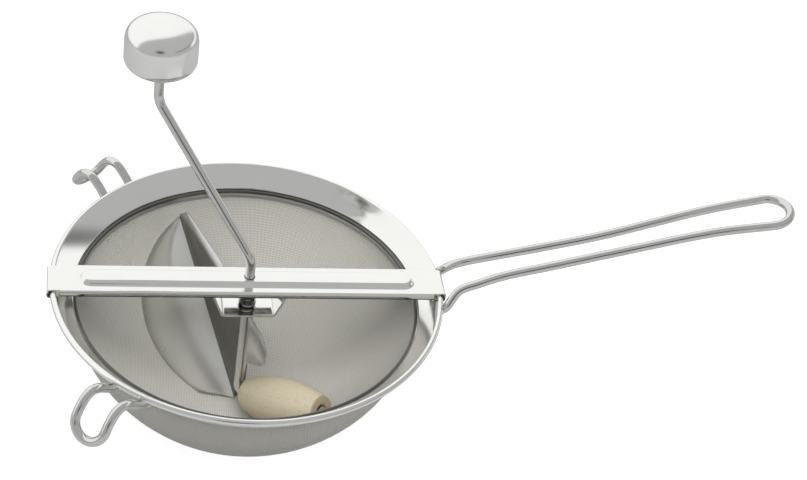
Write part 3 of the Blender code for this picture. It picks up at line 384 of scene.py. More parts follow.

# The clamp ring is a thin steel hoop. It is pressed inside the hem, and its lip covers the cut ends of the
# wires.
# A painted shadow on its top, for the gap between collar and hoop, shows as a dark line round the inside of
# the band.
seat_gap = 0.0003
clamp_sheet = 0.0007
clamp_length = 0.0040
clamp_lip = 0.0013
clamp_bend = 0.0005
clamp_radius = hem_radius - mesh_wall / 2 - seat_gap - clamp_sheet / 2
clamp_top = hem_top + seat_gap + clamp_sheet / 2
clamp_corners = [
    Vector((clamp_radius, clamp_top - clamp_length)),
    Vector((clamp_radius, clamp_top)),
    Vector((clamp_radius + clamp_lip, clamp_top)),
]
# Height span and near-black colour of the painted shadow along the hoop's lip.
painted_gap_shadow_low = clamp_top - 0.0016
painted_gap_shadow_high = clamp_top - 0.0008
painted_gap_shadow_colour = (0.17, 0.17, 0.165)
hoop_colour = (0.72, 0.715, 0.69)
hoop_smudge = (0.60, 0.595, 0.57)
hoop_smudges = (60.0, 4.0)
hoop_gloss = (0.26, 0.40)


def hoop_finish():
    """Dull steel with a painted shadow along its lip, for the gap between the band's collar and the hoop.
    """
    material, tree, shader, place = new_metal("hoop_steel")
    # Painted shadow: the top of the hoop goes near-black, for the gap under the band's collar.
    painted_gap_shadow = between(tree, split(tree, place)["Z"], painted_gap_shadow_low, painted_gap_shadow_high)
    smudges = noise(tree, place, *hoop_smudges)
    hoop = blend_colours(tree, smudges, hoop_colour, hoop_smudge)
    paint(tree, shader, blend_colours(tree, painted_gap_shadow, hoop, painted_gap_shadow_colour), smudges, hoop_gloss)
    return material


clamp_form = spun(rounded(clamp_corners, [clamp_bend], steps=4))
clamp_ring = make_piece("clamp_hoop", clamp_form, hoop_finish(), "sieve", "polished_sheet",
                        "mesh_clamp_ring")
give_wall(clamp_ring, clamp_sheet)

# The handle is one length of round wire bent into a long loop. Both ends follow the rim under the flange,
# where they are welded on, and the wire is buffed bright along its length.
handle_wire = 0.0052
handle_reach = 0.1945
handle_rise = 0.0592
handle_half = 0.0119
handle_weld_share = 0.62
handle_root_turn = 10
handle_neck_lead = 2.5
handle_pass_angles = (20, 65)
handle_shares = ((0.041, 0.96, 0.078), (0.093, 0.88, 0.155), (0.175, 0.76, 0.248),
                 (0.308, 0.72, 0.370), (0.483, 0.70, 0.540), (0.751, 0.84, 0.826))
handle_tip_share = 0.965
handle_tip_steps = 24
strap_width = 0.0235
neck_gap = 0.0008
neck_half = strap_width / 2 + handle_wire / 2 + neck_gap
wire_merge = 0.00001
wire_colour = (0.80, 0.80, 0.785)
wire_patch_share = 0.86
wire_patches = (55.0, 4.0)
wire_pits = (1500.0, 2.0)
wire_gloss = (0.08, 0.17)
wire_relief = (0.12, 0.00003)


def weld_seat(wire, share):
    """Radius and height of a wire that lies under the flange, at a share of the way up its slope."""
    along = Vector((math.cos(flange_slope), math.sin(flange_slope)))
    under = Vector((along.y, -along.x))
    below = band_sheet / 2 + seat_gap + wire / 2
    return flange_foot + along * (flange_run.length * share) + under * below


def bead_pass(wire, lean):
    """Radius and height of a wire that passes the bead, at an angle from straight below it."""
    clear = bead_radius + seat_gap + wire / 2
    turned = math.radians(lean)
    return bead_centre + Vector((math.sin(turned), -math.cos(turned))) * clear


def smooth_run(stations, steps):
    """A soft curve through its stations."""
    padded = [stations[0] * 2 - stations[1]] + stations + [stations[-1] * 2 - stations[-2]]
    points = []
    for a, b, c, d in zip(padded, padded[1:], padded[2:], padded[3:]):
        for step in range(steps):
            t = step / steps
            pull = (c - a) * t + (a * 2 - b * 5 + c * 4 - d) * t ** 2 + (b * 3 - a - c * 3 + d) * t ** 3
            points.append(b + pull / 2)
    return points + [stations[-1]]


def wire_loop(side, out, rise, steps):
    """A loop of wire: one side, a round tip that lies farther out, and the other side back again."""
    start = side[-1]
    tip = []
    for step in range(1, steps):
        angle = math.pi * step / steps
        along = math.sin(angle)
        tip.append(Vector((start.x + out * along, start.y * math.cos(angle), start.z + rise * along)))
    other = [Vector((point.x, -point.y, point.z)) for point in side]
    return side + tip + other[::-1]


def make_wire(name, points, diameter, material, body, slot, *nodes, sides=6):
    """A round wire along its points, as a mesh with closed ends."""
    curve = bpy.data.curves.new(name, "CURVE")
    curve.dimensions = "3D"
    curve.bevel_depth = diameter / 2
    curve.bevel_resolution = sides
    curve.use_fill_caps = True
    spline = curve.splines.new("POLY")
    spline.points.add(len(points) - 1)
    for target, point in zip(spline.points, points):
        target.co = (*point, 1)
    holder = bpy.data.objects.new(name, curve)
    form = bmesh.new()
    form.from_mesh(holder.to_mesh())
    bpy.data.objects.remove(holder)
    bmesh.ops.remove_doubles(form, verts=form.verts, dist=wire_merge)
    bmesh.ops.recalc_face_normals(form, faces=form.faces)
    return make_piece(name, form, material, body, slot, *nodes)


def bright_wire():
    """Bright wire: faint pits and duller patches."""
    material, tree, shader, place = new_metal("wire_steel")
    patches = noise(tree, place, *wire_patches)
    pits = noise(tree, place, *wire_pits)
    darker = tuple(channel * wire_patch_share for channel in wire_colour)
    paint(tree, shader, blend_colours(tree, patches, wire_colour, darker), patches, wire_gloss)
    bumped(tree, shader, pits, *wire_relief)
    return material


def handle_points():
    seat = weld_seat(handle_wire, handle_weld_share)
    neck_angle = math.asin(neck_half / seat.x) + math.radians(handle_neck_lead)
    stations = []
    for step in range(3):
        bearing = neck_angle + math.radians(handle_root_turn) * (1 - step / 2)
        stations.append(Vector((math.cos(bearing) * seat.x, math.sin(bearing) * seat.x, seat.y)))
    for lean in handle_pass_angles:
        place = bead_pass(handle_wire + seat_gap, lean)
        stations.append(Vector((math.sqrt(place.x ** 2 - neck_half ** 2), neck_half, place.y)))
    for out, half, rise in handle_shares:
        stations.append(Vector((rim_radius + handle_reach * out, handle_half * half,
                                rim_top + handle_rise * rise)))
    stations.append(Vector((rim_radius + handle_reach - handle_half, handle_half,
                            rim_top + handle_rise * handle_tip_share)))
    side = smooth_run(stations, steps=12)
    return wire_loop(side, handle_half, handle_rise * (1 - handle_tip_share), handle_tip_steps)


wire_steel = bright_wire()
make_wire("handle_wire_loop", handle_points(), handle_wire, wire_steel, "sieve", "polished_wire",
          "handle_loop")

# Two hooks opposite the handle let the mill hang on the lip of a bowl. Each is a short wire bent into a
# loop that rises over the rim and turns down, with both ends welded under the flange.
hook_wire = 0.0052
hook_half = 0.0095
hook_reach = 0.0305
hook_crest = 0.0026
hook_tip = -0.0140
hook_bearing = 130
hook_weld_shares = (0.15, 0.45)
hook_pass_angle = 33
hook_tip_steps = 20
hook_shares = ((0.213, 0.79), (0.426, 1.00), (0.607, 0.97), (0.754, 0.76), (0.86, 0.50))


def hook_points():
    seats = [weld_seat(hook_wire, share) for share in hook_weld_shares]
    seats.append(bead_pass(hook_wire, hook_pass_angle))
    stations = [Vector((math.sqrt(seat.x ** 2 - hook_half ** 2), hook_half, seat.y)) for seat in seats]
    span = hook_crest - hook_tip
    for out, rise in hook_shares:
        stations.append(Vector((rim_radius + hook_reach * out, hook_half,
                                rim_top + hook_crest - span * (1 - rise))))
    side = smooth_run(stations, steps=6)
    out = rim_radius + hook_reach - side[-1].x
    return wire_loop(side, out, rim_top + hook_tip - side[-1].z, hook_tip_steps)


for hook_name, bearing in (("hook_front", -hook_bearing), ("hook_back", hook_bearing)):
    swing = Matrix.Rotation(math.radians(bearing), 3, "Z")
    make_wire(hook_name + "_wire", [swing @ point for point in hook_points()], hook_wire, wire_steel,
              "sieve", "polished_wire", hook_name)

# The strap is a pressed steel strip with a raised rib down its middle. Its long edges are rolled down, and
# each end turns down over the bead and hooks under it.
strap_sheet = 0.0009
strap_middle = rim_top + seat_gap + strap_sheet / 2
strap_end_inset = 0.0060
strap_flat_end = rim_radius - strap_end_inset
rib_length = 0.1880
rib_width = 0.0140
rib_straight = (rib_length - rib_width) / 2
rib_height = 0.0025
rib_side = 0.0030
rib_rings = 12
edge_roll = 0.0012
edge_drop = 0.0028
edge_reach = 0.0002
least_slope = 0.001
strap_half = (strap_width - strap_sheet) / 2 - edge_roll
end_run = strap_flat_end - rib_straight
lip_drop = 0.0050
lip_toe = 0.0018
shaft_hole = 0.0031
strap_drill = (rim_top - 0.004, rim_top + 0.012)
strap_gloss = (0.06, 0.14)
# Height span and near-black colour of the painted shade along the lower part of the rolled edges and lips.
painted_edge_shade_low = strap_middle - edge_drop + 0.0005
painted_edge_shade_high = strap_middle - edge_drop + 0.0010
painted_edge_shade_colour = (0.15, 0.15, 0.145)
sheet_smudges = (45.0, 5.0, 0.6)
sheet_smudge_share = 0.95
mark_stretch = 60
sheet_marks = (30.0, 2.0)
sheet_relief = (0.06, 0.00004)


def rib_bearings(steps):
    """Bearings round the rib's end, one of which points at the strap's corner."""
    corner = math.atan2(strap_half, end_run)
    low = [corner * step / steps for step in range(steps)]
    high = [corner + (math.pi / 2 - corner) * step / steps for step in range(steps + 1)]
    quarter = low + high
    return [-bearing for bearing in quarter[:0:-1]] + quarter


def ring_of(form, reach_at, height, bearings):
    """A closed ring of points round the rib."""
    ring = []
    for side in (1, -1):
        for bearing in bearings:
            reach = reach_at(bearing)
            x = side * (rib_straight + reach * math.cos(bearing))
            ring.append(form.verts.new((x, side * reach * math.sin(bearing), height)))
    return ring


def draw_out(form, edges, axis, moves):
    """Extrude edges through a list of moves, each outward along an axis and upward."""
    for out, rise in moves:
        pulled = bmesh.ops.extrude_edge_only(form, edges=edges)["geom"]
        edges = [item for item in pulled if isinstance(item, bmesh.types.BMEdge)]
        for vert in (item for item in pulled if isinstance(item, bmesh.types.BMVert)):
            vert.co[axis] += out * math.copysign(1, vert.co[axis])
            vert.co.z += rise


def roll_moves(radius, drop, steps):
    """Moves of an edge that rolls down a quarter circle, then runs straight."""
    moves = []
    for step in range(steps):
        here = math.pi / 2 * step / steps
        there = math.pi / 2 * (step + 1) / steps
        out = radius * (math.sin(there) - math.sin(here))
        rise = radius * (math.cos(there) - math.cos(here))
        moves.append((out, rise))
    return moves + [(0, radius - drop)]


def to_strap_edge(bearing):
    """How far the strap's outline lies from the rib's end at a bearing."""
    to_end = end_run / max(math.cos(bearing), least_slope)
    to_side = strap_half / max(abs(math.sin(bearing)), least_slope)
    return min(to_end, to_side)


def strap_form():
    form = bmesh.new()
    bearings = rib_bearings(steps=9)
    rings = []
    for step in range(rib_rings + 1):
        share = step / rib_rings
        reach = rib_width / 2 - rib_side * (1 - share)
        height = strap_middle + rib_height * (1 + math.cos(math.pi * share)) / 2
        rings.append(ring_of(form, lambda bearing: reach, height, bearings))
    rings.append(ring_of(form, to_strap_edge, strap_middle, bearings))
    form.faces.new(rings[0])
    for inner, outer in zip(rings, rings[1:]):
        around = zip(inner, outer, outer[1:] + outer[:1], inner[1:] + inner[:1])
        for corners in around:
            form.faces.new(corners)
    border = [edge for edge in form.edges if edge.is_boundary]
    long_edges = [e for e in border if all(abs(abs(v.co.y) - strap_half) < edge_reach for v in e.verts)]
    end_edges = [e for e in border if all(abs(abs(v.co.x) - strap_flat_end) < edge_reach for v in e.verts)]
    draw_out(form, long_edges, 1, roll_moves(edge_roll, edge_drop, steps=6))
    run = rim_radius + seat_gap + strap_sheet / 2 - edge_roll - strap_flat_end
    roll = roll_moves(edge_roll, lip_drop - lip_toe / 2, steps=6)
    toe = [(-lip_toe / 3, -lip_toe / 2), (-lip_toe * 2 / 3, -lip_toe / 6)]
    draw_out(form, end_edges, 0, [(run, 0)] + roll + toe)
    bmesh.ops.recalc_face_normals(form, faces=form.faces)
    return form


def drill(piece, radius, low, high):
    """Drill a round hole down the shaft's axis through a piece with its wall."""
    tool_form = bmesh.new()
    bmesh.ops.create_cone(tool_form, cap_ends=True, segments=64, radius1=radius, radius2=radius,
                          depth=high - low, matrix=Matrix.Translation((0, 0, (high + low) / 2)))
    tool = new_object("drill", tool_form)
    cut = piece.modifiers.new("hole", "BOOLEAN")
    cut.solver = "EXACT"
    cut.object = tool
    scene_state = bpy.context.evaluated_depsgraph_get()
    done = bpy.data.meshes.new_from_object(piece.evaluated_get(scene_state))
    piece.modifiers.clear()
    piece.data = done
    bpy.data.objects.remove(tool)
    soften(done)


def stretched(tree, place, scale):
    """The place on a piece, drawn out so that a pattern runs in one direction."""
    mapping = add_node(tree, "ShaderNodeMapping")
    mapping.inputs["Scale"].default_value = scale
    tree.links.new(place, mapping.inputs["Vector"])
    return mapping.outputs[0]


def pressed_steel(name, colour, gloss):
    """Bright pressed sheet: straight rolling marks and soft smudges."""
    material, tree, shader, place = new_metal(name)
    smudges = noise(tree, place, *sheet_smudges)
    marks = noise(tree, stretched(tree, place, (1, mark_stretch, mark_stretch)), *sheet_marks)
    darker = tuple(channel * sheet_smudge_share for channel in colour)
    paint(tree, shader, blend_colours(tree, smudges, colour, darker), smudges, gloss)
    bumped(tree, shader, marks, *sheet_relief)
    return material


def strap_finish():
    """Pressed steel with painted shade on the lower part of its rolled edges, and so on the lower part of
    its lips too.
    """
    material = pressed_steel("strap_steel", steel_colour, strap_gloss)
    tree = material.node_tree
    base = tree.nodes["Principled BSDF"].inputs["Base Color"]
    polished = base.links[0].from_socket
    # Painted shade: below the top of the rolled edges' lower part the colour goes near-black.
    painted_edge_shade = between(tree, split(tree, object_place(tree))["Z"], painted_edge_shade_high, painted_edge_shade_low)
    tree.links.new(blend_colours(tree, painted_edge_shade, polished, painted_edge_shade_colour), base)
    return material


strap = make_piece("strap_sheet", strap_form(), strap_finish(), "sieve", "polished_sheet", "cross_bar")
give_wall(strap, strap_sheet)
drill(strap, shaft_hole, *strap_drill)

# The bracket is a strip bent into a hat and spot welded under the strap. Its floor carries the lower
# bearing hole, so the spring sits in the window between floor and strap.
bracket_sheet = 0.0012
bracket_width = 0.0210
bracket_depth = 0.0175
bracket_length = 0.0820
bracket_top_length = 0.0420
bracket_floor_length = 0.0290
bracket_bend = 0.0022
bracket_corner = 0.0040
bracket_end_reach = 0.0001
bracket_drill = (rim_top - 0.024, rim_top - 0.013)


def bracket_form():
    high = rim_top - bracket_sheet / 2
    low = rim_top - bracket_depth + bracket_sheet / 2
    places = [(bracket_length / 2, high), (bracket_top_length / 2, high), (bracket_floor_length / 2, low)]
    corners = [Vector((-x, 0, z)) for x, z in places] + [Vector((x, 0, z)) for x, z in places[::-1]]
    form = bmesh.new()
    line = [form.verts.new(point) for point in rounded(corners, [bracket_bend] * 4, steps=8)]
    edges = [form.edges.new(pair) for pair in zip(line, line[1:])]
    bmesh.ops.translate(form, verts=line, vec=(0, -bracket_width / 2, 0))
    draw_out(form, edges, 1, [(-bracket_width, 0)])
    ends = [v for v in form.verts if abs(abs(v.co.x) - bracket_length / 2) < bracket_end_reach]
    bmesh.ops.bevel(form, geom=ends, offset=bracket_corner, segments=6, profile=0.5, affect="VERTICES",
                    material=-1)
    bmesh.ops.recalc_face_normals(form, faces=form.faces)
    return form


bracket_steel = pressed_steel("bracket_steel", steel_colour, strap_gloss)
bracket = make_piece("bracket_sheet", bracket_form(), bracket_steel, "sieve", "polished_sheet",
                     "bearing_bracket")
give_wall(bracket, bracket_sheet)
drill(bracket, shaft_hole, *bracket_drill)

# A compression spring round the shaft pushes the crank down, between a washer under the rib and a washer
# that an open clip in the shaft's groove carries. The spring's wire is painted nearly black, as painted
# shade under the strap.
spring_wire = 0.0010
spring_radius = 0.00375
spring_turns = 6.5
spring_end_pitch = 0.0015
spring_turn_steps = 24
# Nearly black colours of the painted shade on the spring, with faint warm and cool tints.
shade_dark_warm = (0.20, 0.19, 0.18)
shade_dark_cool = (0.11, 0.115, 0.13)
shade_tints = (240.0, 3.0)
spring_grain = 3000.0
spring_gloss = (0.26, 0.40)
spring_relief = (0.10, 0.00002)
washer_sheet = 0.0007
washer_colour = (0.60, 0.60, 0.585)
washer_gloss = (0.22, 0.34)


def painted_shade_steel():
    """Steel painted nearly black as shade, with faint warm and cool tints and an oily sheen."""
    material, tree, shader, place = new_metal("dark_spring_steel")
    # Painted shade: both tints are nearly black.
    tint = noise(tree, place, *shade_tints)
    paint(tree, shader, blend_colours(tree, tint, shade_dark_warm, shade_dark_cool), tint, spring_gloss)
    bumped(tree, shader, noise(tree, place, spring_grain), *spring_relief)
    return material


def coil_points(low, high):
    """An open coil with one closer turn at each end."""
    pitch = (high - low - 2 * spring_end_pitch) / (spring_turns - 2)
    count = round(spring_turns * spring_turn_steps)
    points = []
    for index in range(count + 1):
        turns = spring_turns * index / count
        closer = min(turns, 1) + max(turns - (spring_turns - 1), 0)
        height = low + (closer * spring_end_pitch + (turns - closer) * pitch)
        angle = 2 * math.pi * turns
        points.append(Vector((spring_radius * math.cos(angle), spring_radius * math.sin(angle), height)))
    return points


def refinish(material, *names):
    """Give solids that keep their own shape a material of this scene."""
    for name in names:
        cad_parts[name].material_slots[0].material = material


spring_steel = painted_shade_steel()
spring_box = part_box("compression_spring")
spring_low = spring_box[0].z + spring_wire / 2
spring_high = spring_box[1].z - spring_wire / 2
spring = make_wire("spring_coil", coil_points(spring_low, spring_high), spring_wire, spring_steel, "sieve",
                   "spring_wire", "compression_spring", sides=3)
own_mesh(spring)
plain_steel = pressed_steel("plain_steel", washer_colour, washer_gloss)
refinish(plain_steel, "spring_top_washer", "spring_seat_washer", "roller_inner_washer",
         "roller_outer_washer", "knob_washer")
# The clip and the push nuts share the spring's nearly black material and its painted shade.
refinish(spring_steel, "retaining_clip", "roller_push_nut", "knob_push_nut")

# The crank is one bent wire: a pin for the knob, a sloping arm, the shaft and, at its foot, a spindle for
# the roller. A swaged collar under the knob stops it sliding down the arm.
crank_wire = 0.0055
crank_bearing = 137
crank_throw = 0.0725
stub_rise = 0.0160
arm_rise = 0.0707
stub_top = rim_top + stub_rise
arm_top = stub_top + arm_rise
arm_bend = 0.012
spindle_tilt = 22.0
spindle_bend = 0.0045
spindle_reach = 0.0637
pivot_height = 0.009287
pin_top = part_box("crank_rod")[1].z


def toward(bearing):
    """A level direction at a bearing in degrees."""
    turned = math.radians(bearing)
    return Vector((math.cos(turned), math.sin(turned), 0))


crank_out = toward(crank_bearing)
spindle_along = -crank_out * math.cos(math.radians(spindle_tilt))
spindle_along.z = math.sin(math.radians(spindle_tilt))
spindle_corner = Vector((0, 0, pivot_height))
crank_corners = [
    crank_out * crank_throw + Vector((0, 0, pin_top)),
    crank_out * crank_throw + Vector((0, 0, arm_top)),
    Vector((0, 0, stub_top)),
    spindle_corner,
    spindle_corner + spindle_along * spindle_reach,
]
knob_above_rim = 0.1100
knob_bottom = rim_top + knob_above_rim
stop_radius = 0.0042
stop_height = 0.0018
stop_edge = 0.0004
stop_overlap = 0.0002
stop_top = knob_bottom - washer_sheet - 2 * seat_gap


def add_stop():
    """Swell the wire into a short collar that carries the knob's washer."""
    core = crank_wire / 2 - stop_overlap
    section = [
        Vector((core, stop_top)),
        Vector((stop_radius - stop_edge, stop_top)),
        Vector((stop_radius, stop_top - stop_height / 3)),
        Vector((stop_radius, stop_top - stop_height * 2 / 3)),
        Vector((core, stop_top - stop_height)),
    ]
    stop = spun(section, steps=48, closed=True)
    bmesh.ops.translate(stop, verts=stop.verts, vec=crank_out * crank_throw)
    stop_mesh = bpy.data.meshes.new("stop")
    stop.to_mesh(stop_mesh)
    stop.free()
    form = bmesh.new()
    form.from_mesh(crank.data)
    form.from_mesh(stop_mesh)
    form.to_mesh(crank.data)
    form.free()
    soften(crank.data)


crank_line = rounded(crank_corners, [arm_bend, arm_bend, spindle_bend], steps=16)
crank = make_wire("crank_bent_wire", crank_line, crank_wire, wire_steel, "crank", "polished_wire",
                  "crank_rod", sides=8)
add_stop()

# The blade is one sheet folded along a rising line. Its upright web lies against the shaft in a half round
# groove, and its wing slopes down to the mesh and pushes the food under its edge.
blade_sheet = 0.0010
web_bearing = 111
wing_bearing = 172
fold_slope = math.radians(36.9)
fold_foot = 0.0006
fold_width = 0.0011
groove_steps = 24
web_steps = 60
halvings = 24
cloth_steps = 300
blade_gap = 0.0005
run_gap = 0.00045
blade_limit = clamp_radius - clamp_sheet / 2 - run_gap
blade_top = rim_top - 0.0150
blade_top_reach = 0.0840
blade_neck = rim_top - 0.0228
blade_neck_reach = 0.0195
blade_shoulder_reach = 0.0330
tab_top = blade_neck - 0.0065
tab_foot = rim_top - 0.0558
tab_reach = 0.0280
tab_slant = 0.0140
tab_corner = 0.0049
tight_corner = 0.0009
wide_corner = 0.0097
groove_middle = crank_wire / 2 + seat_gap + blade_sheet / 2
groove_foot = pivot_height + spindle_bend * math.tan(math.radians(90 + spindle_tilt) / 2) + crank_wire
web_side = groove_middle - blade_sheet / 2
same_reach = 0.000001
end_reach = 0.0001
least_wing = 0.0004
fold_angle = 0.5
fold_step = 0.004
web_out = toward(web_bearing)
web_far = toward(web_bearing - 90)
wing_out = toward(wing_bearing)
# The web's colours are painted shade and dark reflection; the wing keeps the steel's own bright colour.
web_painted_shade_colour = (0.29, 0.29, 0.28)
web_painted_shade_smudge = (0.25, 0.25, 0.245)
wing_colour = (0.93, 0.93, 0.91)
wing_smudge = (0.88, 0.88, 0.86)
wing_start = (blade_sheet * 0.6, blade_sheet * 0.9)
tab_start = (0.002, 0.007)
top_strip_start = (rim_top - 0.0240, rim_top - 0.0180)
# Share of the painted highlight on the tab and top strip, which lifts most of the web's painted shade
# there.
painted_highlight_share = 0.7
blade_gloss = (0.27, 0.36)
blade_relief = (0.05, 0.00003)


def clear_reach(height, line):
    """Radius that the sheet may reach at a height and still run clear of the cloth."""
    clear = mesh_wall / 2 + blade_gap + blade_sheet / 2
    low = 0
    high = min([point.x for point in line if point.y >= height] + [blade_limit])
    for _ in range(halvings):
        middle = (low + high) / 2
        here = Vector((middle, height))
        if min((point - here).length for point in line) > clear:
            low = middle
        else:
            high = middle
    return low


def fold_height(out):
    return fold_foot + out * math.tan(fold_slope)


def web_edges():
    """The web's upper and lower outline, as distance from the shaft and height."""
    tab_low = tab_foot + tab_slant
    tab_side = Vector((-tab_reach, (tab_top + tab_low) / 2))
    upper = [
        tab_side,
        Vector((-tab_reach, tab_top)),
        Vector((-blade_neck_reach, blade_neck)),
        Vector((blade_neck_reach, blade_neck)),
        Vector((blade_shoulder_reach, blade_top)),
        Vector((blade_top_reach, blade_top)),
        Vector((blade_limit, fold_height(blade_limit))),
    ]
    lower = [
        tab_side,
        Vector((-tab_reach, tab_low)),
        Vector((-groove_middle * 2, tab_foot)),
        Vector((-groove_middle - blade_sheet, groove_foot)),
        Vector((web_side, groove_foot)),
    ]
    upper_corners = [tab_corner, tight_corner, wide_corner, wide_corner, tab_corner]
    lower_corners = [wide_corner, tight_corner, 0]
    return rounded(upper, upper_corners, steps=10), rounded(lower, lower_corners, steps=10)


def height_on(line, out, pick):
    """Height of an outline at a distance from the shaft."""
    found = []
    for start, end in zip(line, line[1:]):
        near, far = min(start.x, end.x), max(start.x, end.x)
        if near <= out <= far:
            share = (out - start.x) / (end.x - start.x) if far - near > same_reach else 0.5
            found.append(start.y + (end.y - start.y) * share)
            if far - near <= same_reach:
                found += [start.y, end.y]
    return pick(found)


def web_stations(upper, lower):
    """Distances from the shaft at which the web has a column of points."""
    outs = {round(point.x, 6) for point in upper + lower}
    for step in range(groove_steps + 1):
        outs.add(round(groove_middle * math.cos(math.pi * step / groove_steps), 6))
    for step in range(web_steps + 1):
        outs.add(round(web_side + (blade_limit - web_side) * step / web_steps, 6))
    return [out for out in sorted(outs) if -tab_reach <= out <= blade_limit - end_reach]


def blade_form():
    upper, lower = web_edges()
    form = bmesh.new()
    columns = []
    for out in web_stations(upper, lower):
        bulge = math.sqrt(max(groove_middle ** 2 - out ** 2, 0))
        place = web_out * out + web_far * bulge
        low = fold_height(out) if out > web_side else height_on(lower, out, min)
        high = height_on(upper, out, max)
        foot = form.verts.new((place.x, place.y, low))
        head = form.verts.new((place.x, place.y, high))
        columns.append((out, foot, head))
    for left, right in zip(columns, columns[1:]):
        form.faces.new((left[1], right[1], right[2], left[2]))
    cloth = bowl_line(cloth_steps)[1:]
    rows = []
    for out, foot, _ in columns:
        if out <= web_side:
            continue
        start = foot.co.copy()
        reach = clear_reach(start.z, cloth)
        flat = Vector((start.x, start.y, 0))
        along = flat.dot(wing_out)
        run = math.sqrt(max(along ** 2 + reach ** 2 - flat.length_squared, 0)) - along
        if run > least_wing:
            rows.append((foot, form.verts.new(start + wing_out * run)))
    for low, high in zip(rows, rows[1:]):
        form.faces.new((low[0], low[1], high[1], high[0]))
    fold = [edge for edge in form.edges if len(edge.link_faces) == 2 and edge.calc_face_angle() > fold_angle
            and abs(edge.verts[0].co.z - edge.verts[1].co.z) < fold_step]
    bmesh.ops.bevel(form, geom=fold, offset=fold_width, segments=5, profile=0.5, affect="EDGES",
                    material=-1)
    bmesh.ops.recalc_face_normals(form, faces=form.faces)
    return form


def distance_along(tree, place, direction):
    node = add_node(tree, "ShaderNodeVectorMath", operation="DOT_PRODUCT")
    node.inputs[1].default_value = direction
    tree.links.new(place, node.inputs[0])
    return node.outputs["Value"]


def folded_steel():
    """Pressed sheet whose upright web carries painted shade and dark reflection, darker than its wing; its
    tab and top strip carry a painted highlight.
    """
    material, tree, shader, place = new_metal("folded_steel")
    wing = between(tree, distance_along(tree, place, -web_far), *wing_start)
    tab = between(tree, distance_along(tree, place, -web_out), *tab_start)
    top = between(tree, split(tree, place)["Z"], *top_strip_start)
    # Painted highlight: the tab and the top strip go most of the way back to the bright steel colour.
    tab_and_top_highlight = maths(tree, "MULTIPLY", maths(tree, "MAXIMUM", tab, top), painted_highlight_share)
    bright = maths(tree, "MAXIMUM", wing, tab_and_top_highlight)
    smudges = noise(tree, place, *sheet_smudges)
    # Painted shade and dark reflection on the web.
    web = blend_colours(tree, smudges, web_painted_shade_colour, web_painted_shade_smudge)
    polished = blend_colours(tree, smudges, wing_colour, wing_smudge)
    paint(tree, shader, blend_colours(tree, bright, web, polished), smudges, blade_gloss)
    marks = noise(tree, stretched(tree, place, (mark_stretch, mark_stretch, 1)), *sheet_marks)
    bumped(tree, shader, marks, *blade_relief)
    return material


blade = make_piece("folded_blade", blade_form(), folded_steel(), "crank", "polished_sheet",
                   "pressing_blade")
give_wall(blade, blade_sheet)

# The roller is turned from beech and runs free on the spindle between two washers. A pushed on nut in its
# hollow end keeps it there.
roller_length = 0.0560
roller_radius = 0.0145
roller_end_radius = 0.0092
roller_start = 0.00797
roller_end = roller_start + roller_length
roller_edge = 0.0012
roller_rings = 32
roller_bore = crank_wire / 2 + 0.0004
hollow_radius = 0.0046
hollow_depth = 0.0050
spindle_turn = spindle_along.to_track_quat("Z", "Y")
beech_light = (0.60, 0.545, 0.41)
beech_dark = (0.52, 0.45, 0.315)
beech_bands = (260.0, 4.0, 0.55)
beech_fibres = (2400.0, 2.0)
beech_spots = (1300.0, 1.0)
beech_gloss = (0.5, 0.68)
beech_relief = (0.25, 0.00008)
grain_stretch = 0.06
fleck_stretch = 0.22
fleck_start = (0.60, 0.72)
fleck_strength = 0.45
fleck_colour = (0.36, 0.24, 0.13)
end_grain_start = (roller_end - 0.0010, roller_end - 0.0004)
end_grain_share = 0.8
end_grain_colour = (0.33, 0.25, 0.16)


def roller_section():
    """Half section of the barrel, with its bore and the hollow for the nut."""
    rise = roller_radius - roller_end_radius
    half = roller_length / 2
    sweep = (half ** 2 + rise ** 2) / (2 * rise)
    section = []
    for step in range(roller_rings + 1):
        share = 1 - 2 * step / roller_rings
        radius = roller_radius - sweep + math.sqrt(sweep ** 2 - (half * share) ** 2)
        section.append(Vector((radius, roller_start + half * (1 + share))))
    corners = [Vector((hollow_radius, roller_end))] + section + [Vector((roller_bore, roller_start))]
    barrel = rounded(corners, [roller_edge] + [0] * (roller_rings - 1) + [roller_edge], steps=5)
    hollow_floor = roller_end - hollow_depth
    return barrel + [Vector((roller_bore, hollow_floor)), Vector((hollow_radius, hollow_floor))]


def beech():
    """Turned beech: pale, with short dark flecks along the grain, soft yearly bands and a brown end."""
    material, tree, shader = new_material("turned_beech")
    place = object_place(tree)
    turn = add_node(tree, "ShaderNodeMapping", vector_type="TEXTURE")
    turn.inputs["Location"].default_value = spindle_corner
    turn.inputs["Rotation"].default_value = spindle_turn.to_euler()
    tree.links.new(place, turn.inputs["Vector"])
    on_roller = turn.outputs[0]
    grain = stretched(tree, on_roller, (1, 1, grain_stretch))
    bands = noise(tree, grain, *beech_bands)
    fibres = noise(tree, grain, *beech_fibres)
    spots = noise(tree, stretched(tree, on_roller, (1, 1, fleck_stretch)), *beech_spots)
    flecks = remap(tree, spots, fleck_start, (0, fleck_strength))
    wood = blend_colours(tree, bands, beech_light, beech_dark)
    spotted = blend_colours(tree, flecks, wood, fleck_colour)
    end_grain = between(tree, split(tree, on_roller)["Z"], *end_grain_start)
    browned = maths(tree, "MULTIPLY", end_grain, end_grain_share)
    paint(tree, shader, blend_colours(tree, browned, spotted, end_grain_colour), bands, beech_gloss)
    bumped(tree, shader, fibres, *beech_relief)
    return material


roller_form = spun(roller_section(), steps=96, closed=True)
to_spindle = Matrix.Translation(spindle_corner) @ spindle_turn.to_matrix().to_4x4()
bmesh.ops.transform(roller_form, verts=roller_form.verts, matrix=to_spindle)
make_piece("roller_barrel", roller_form, beech(), "roller", "beech", "wood_roller")

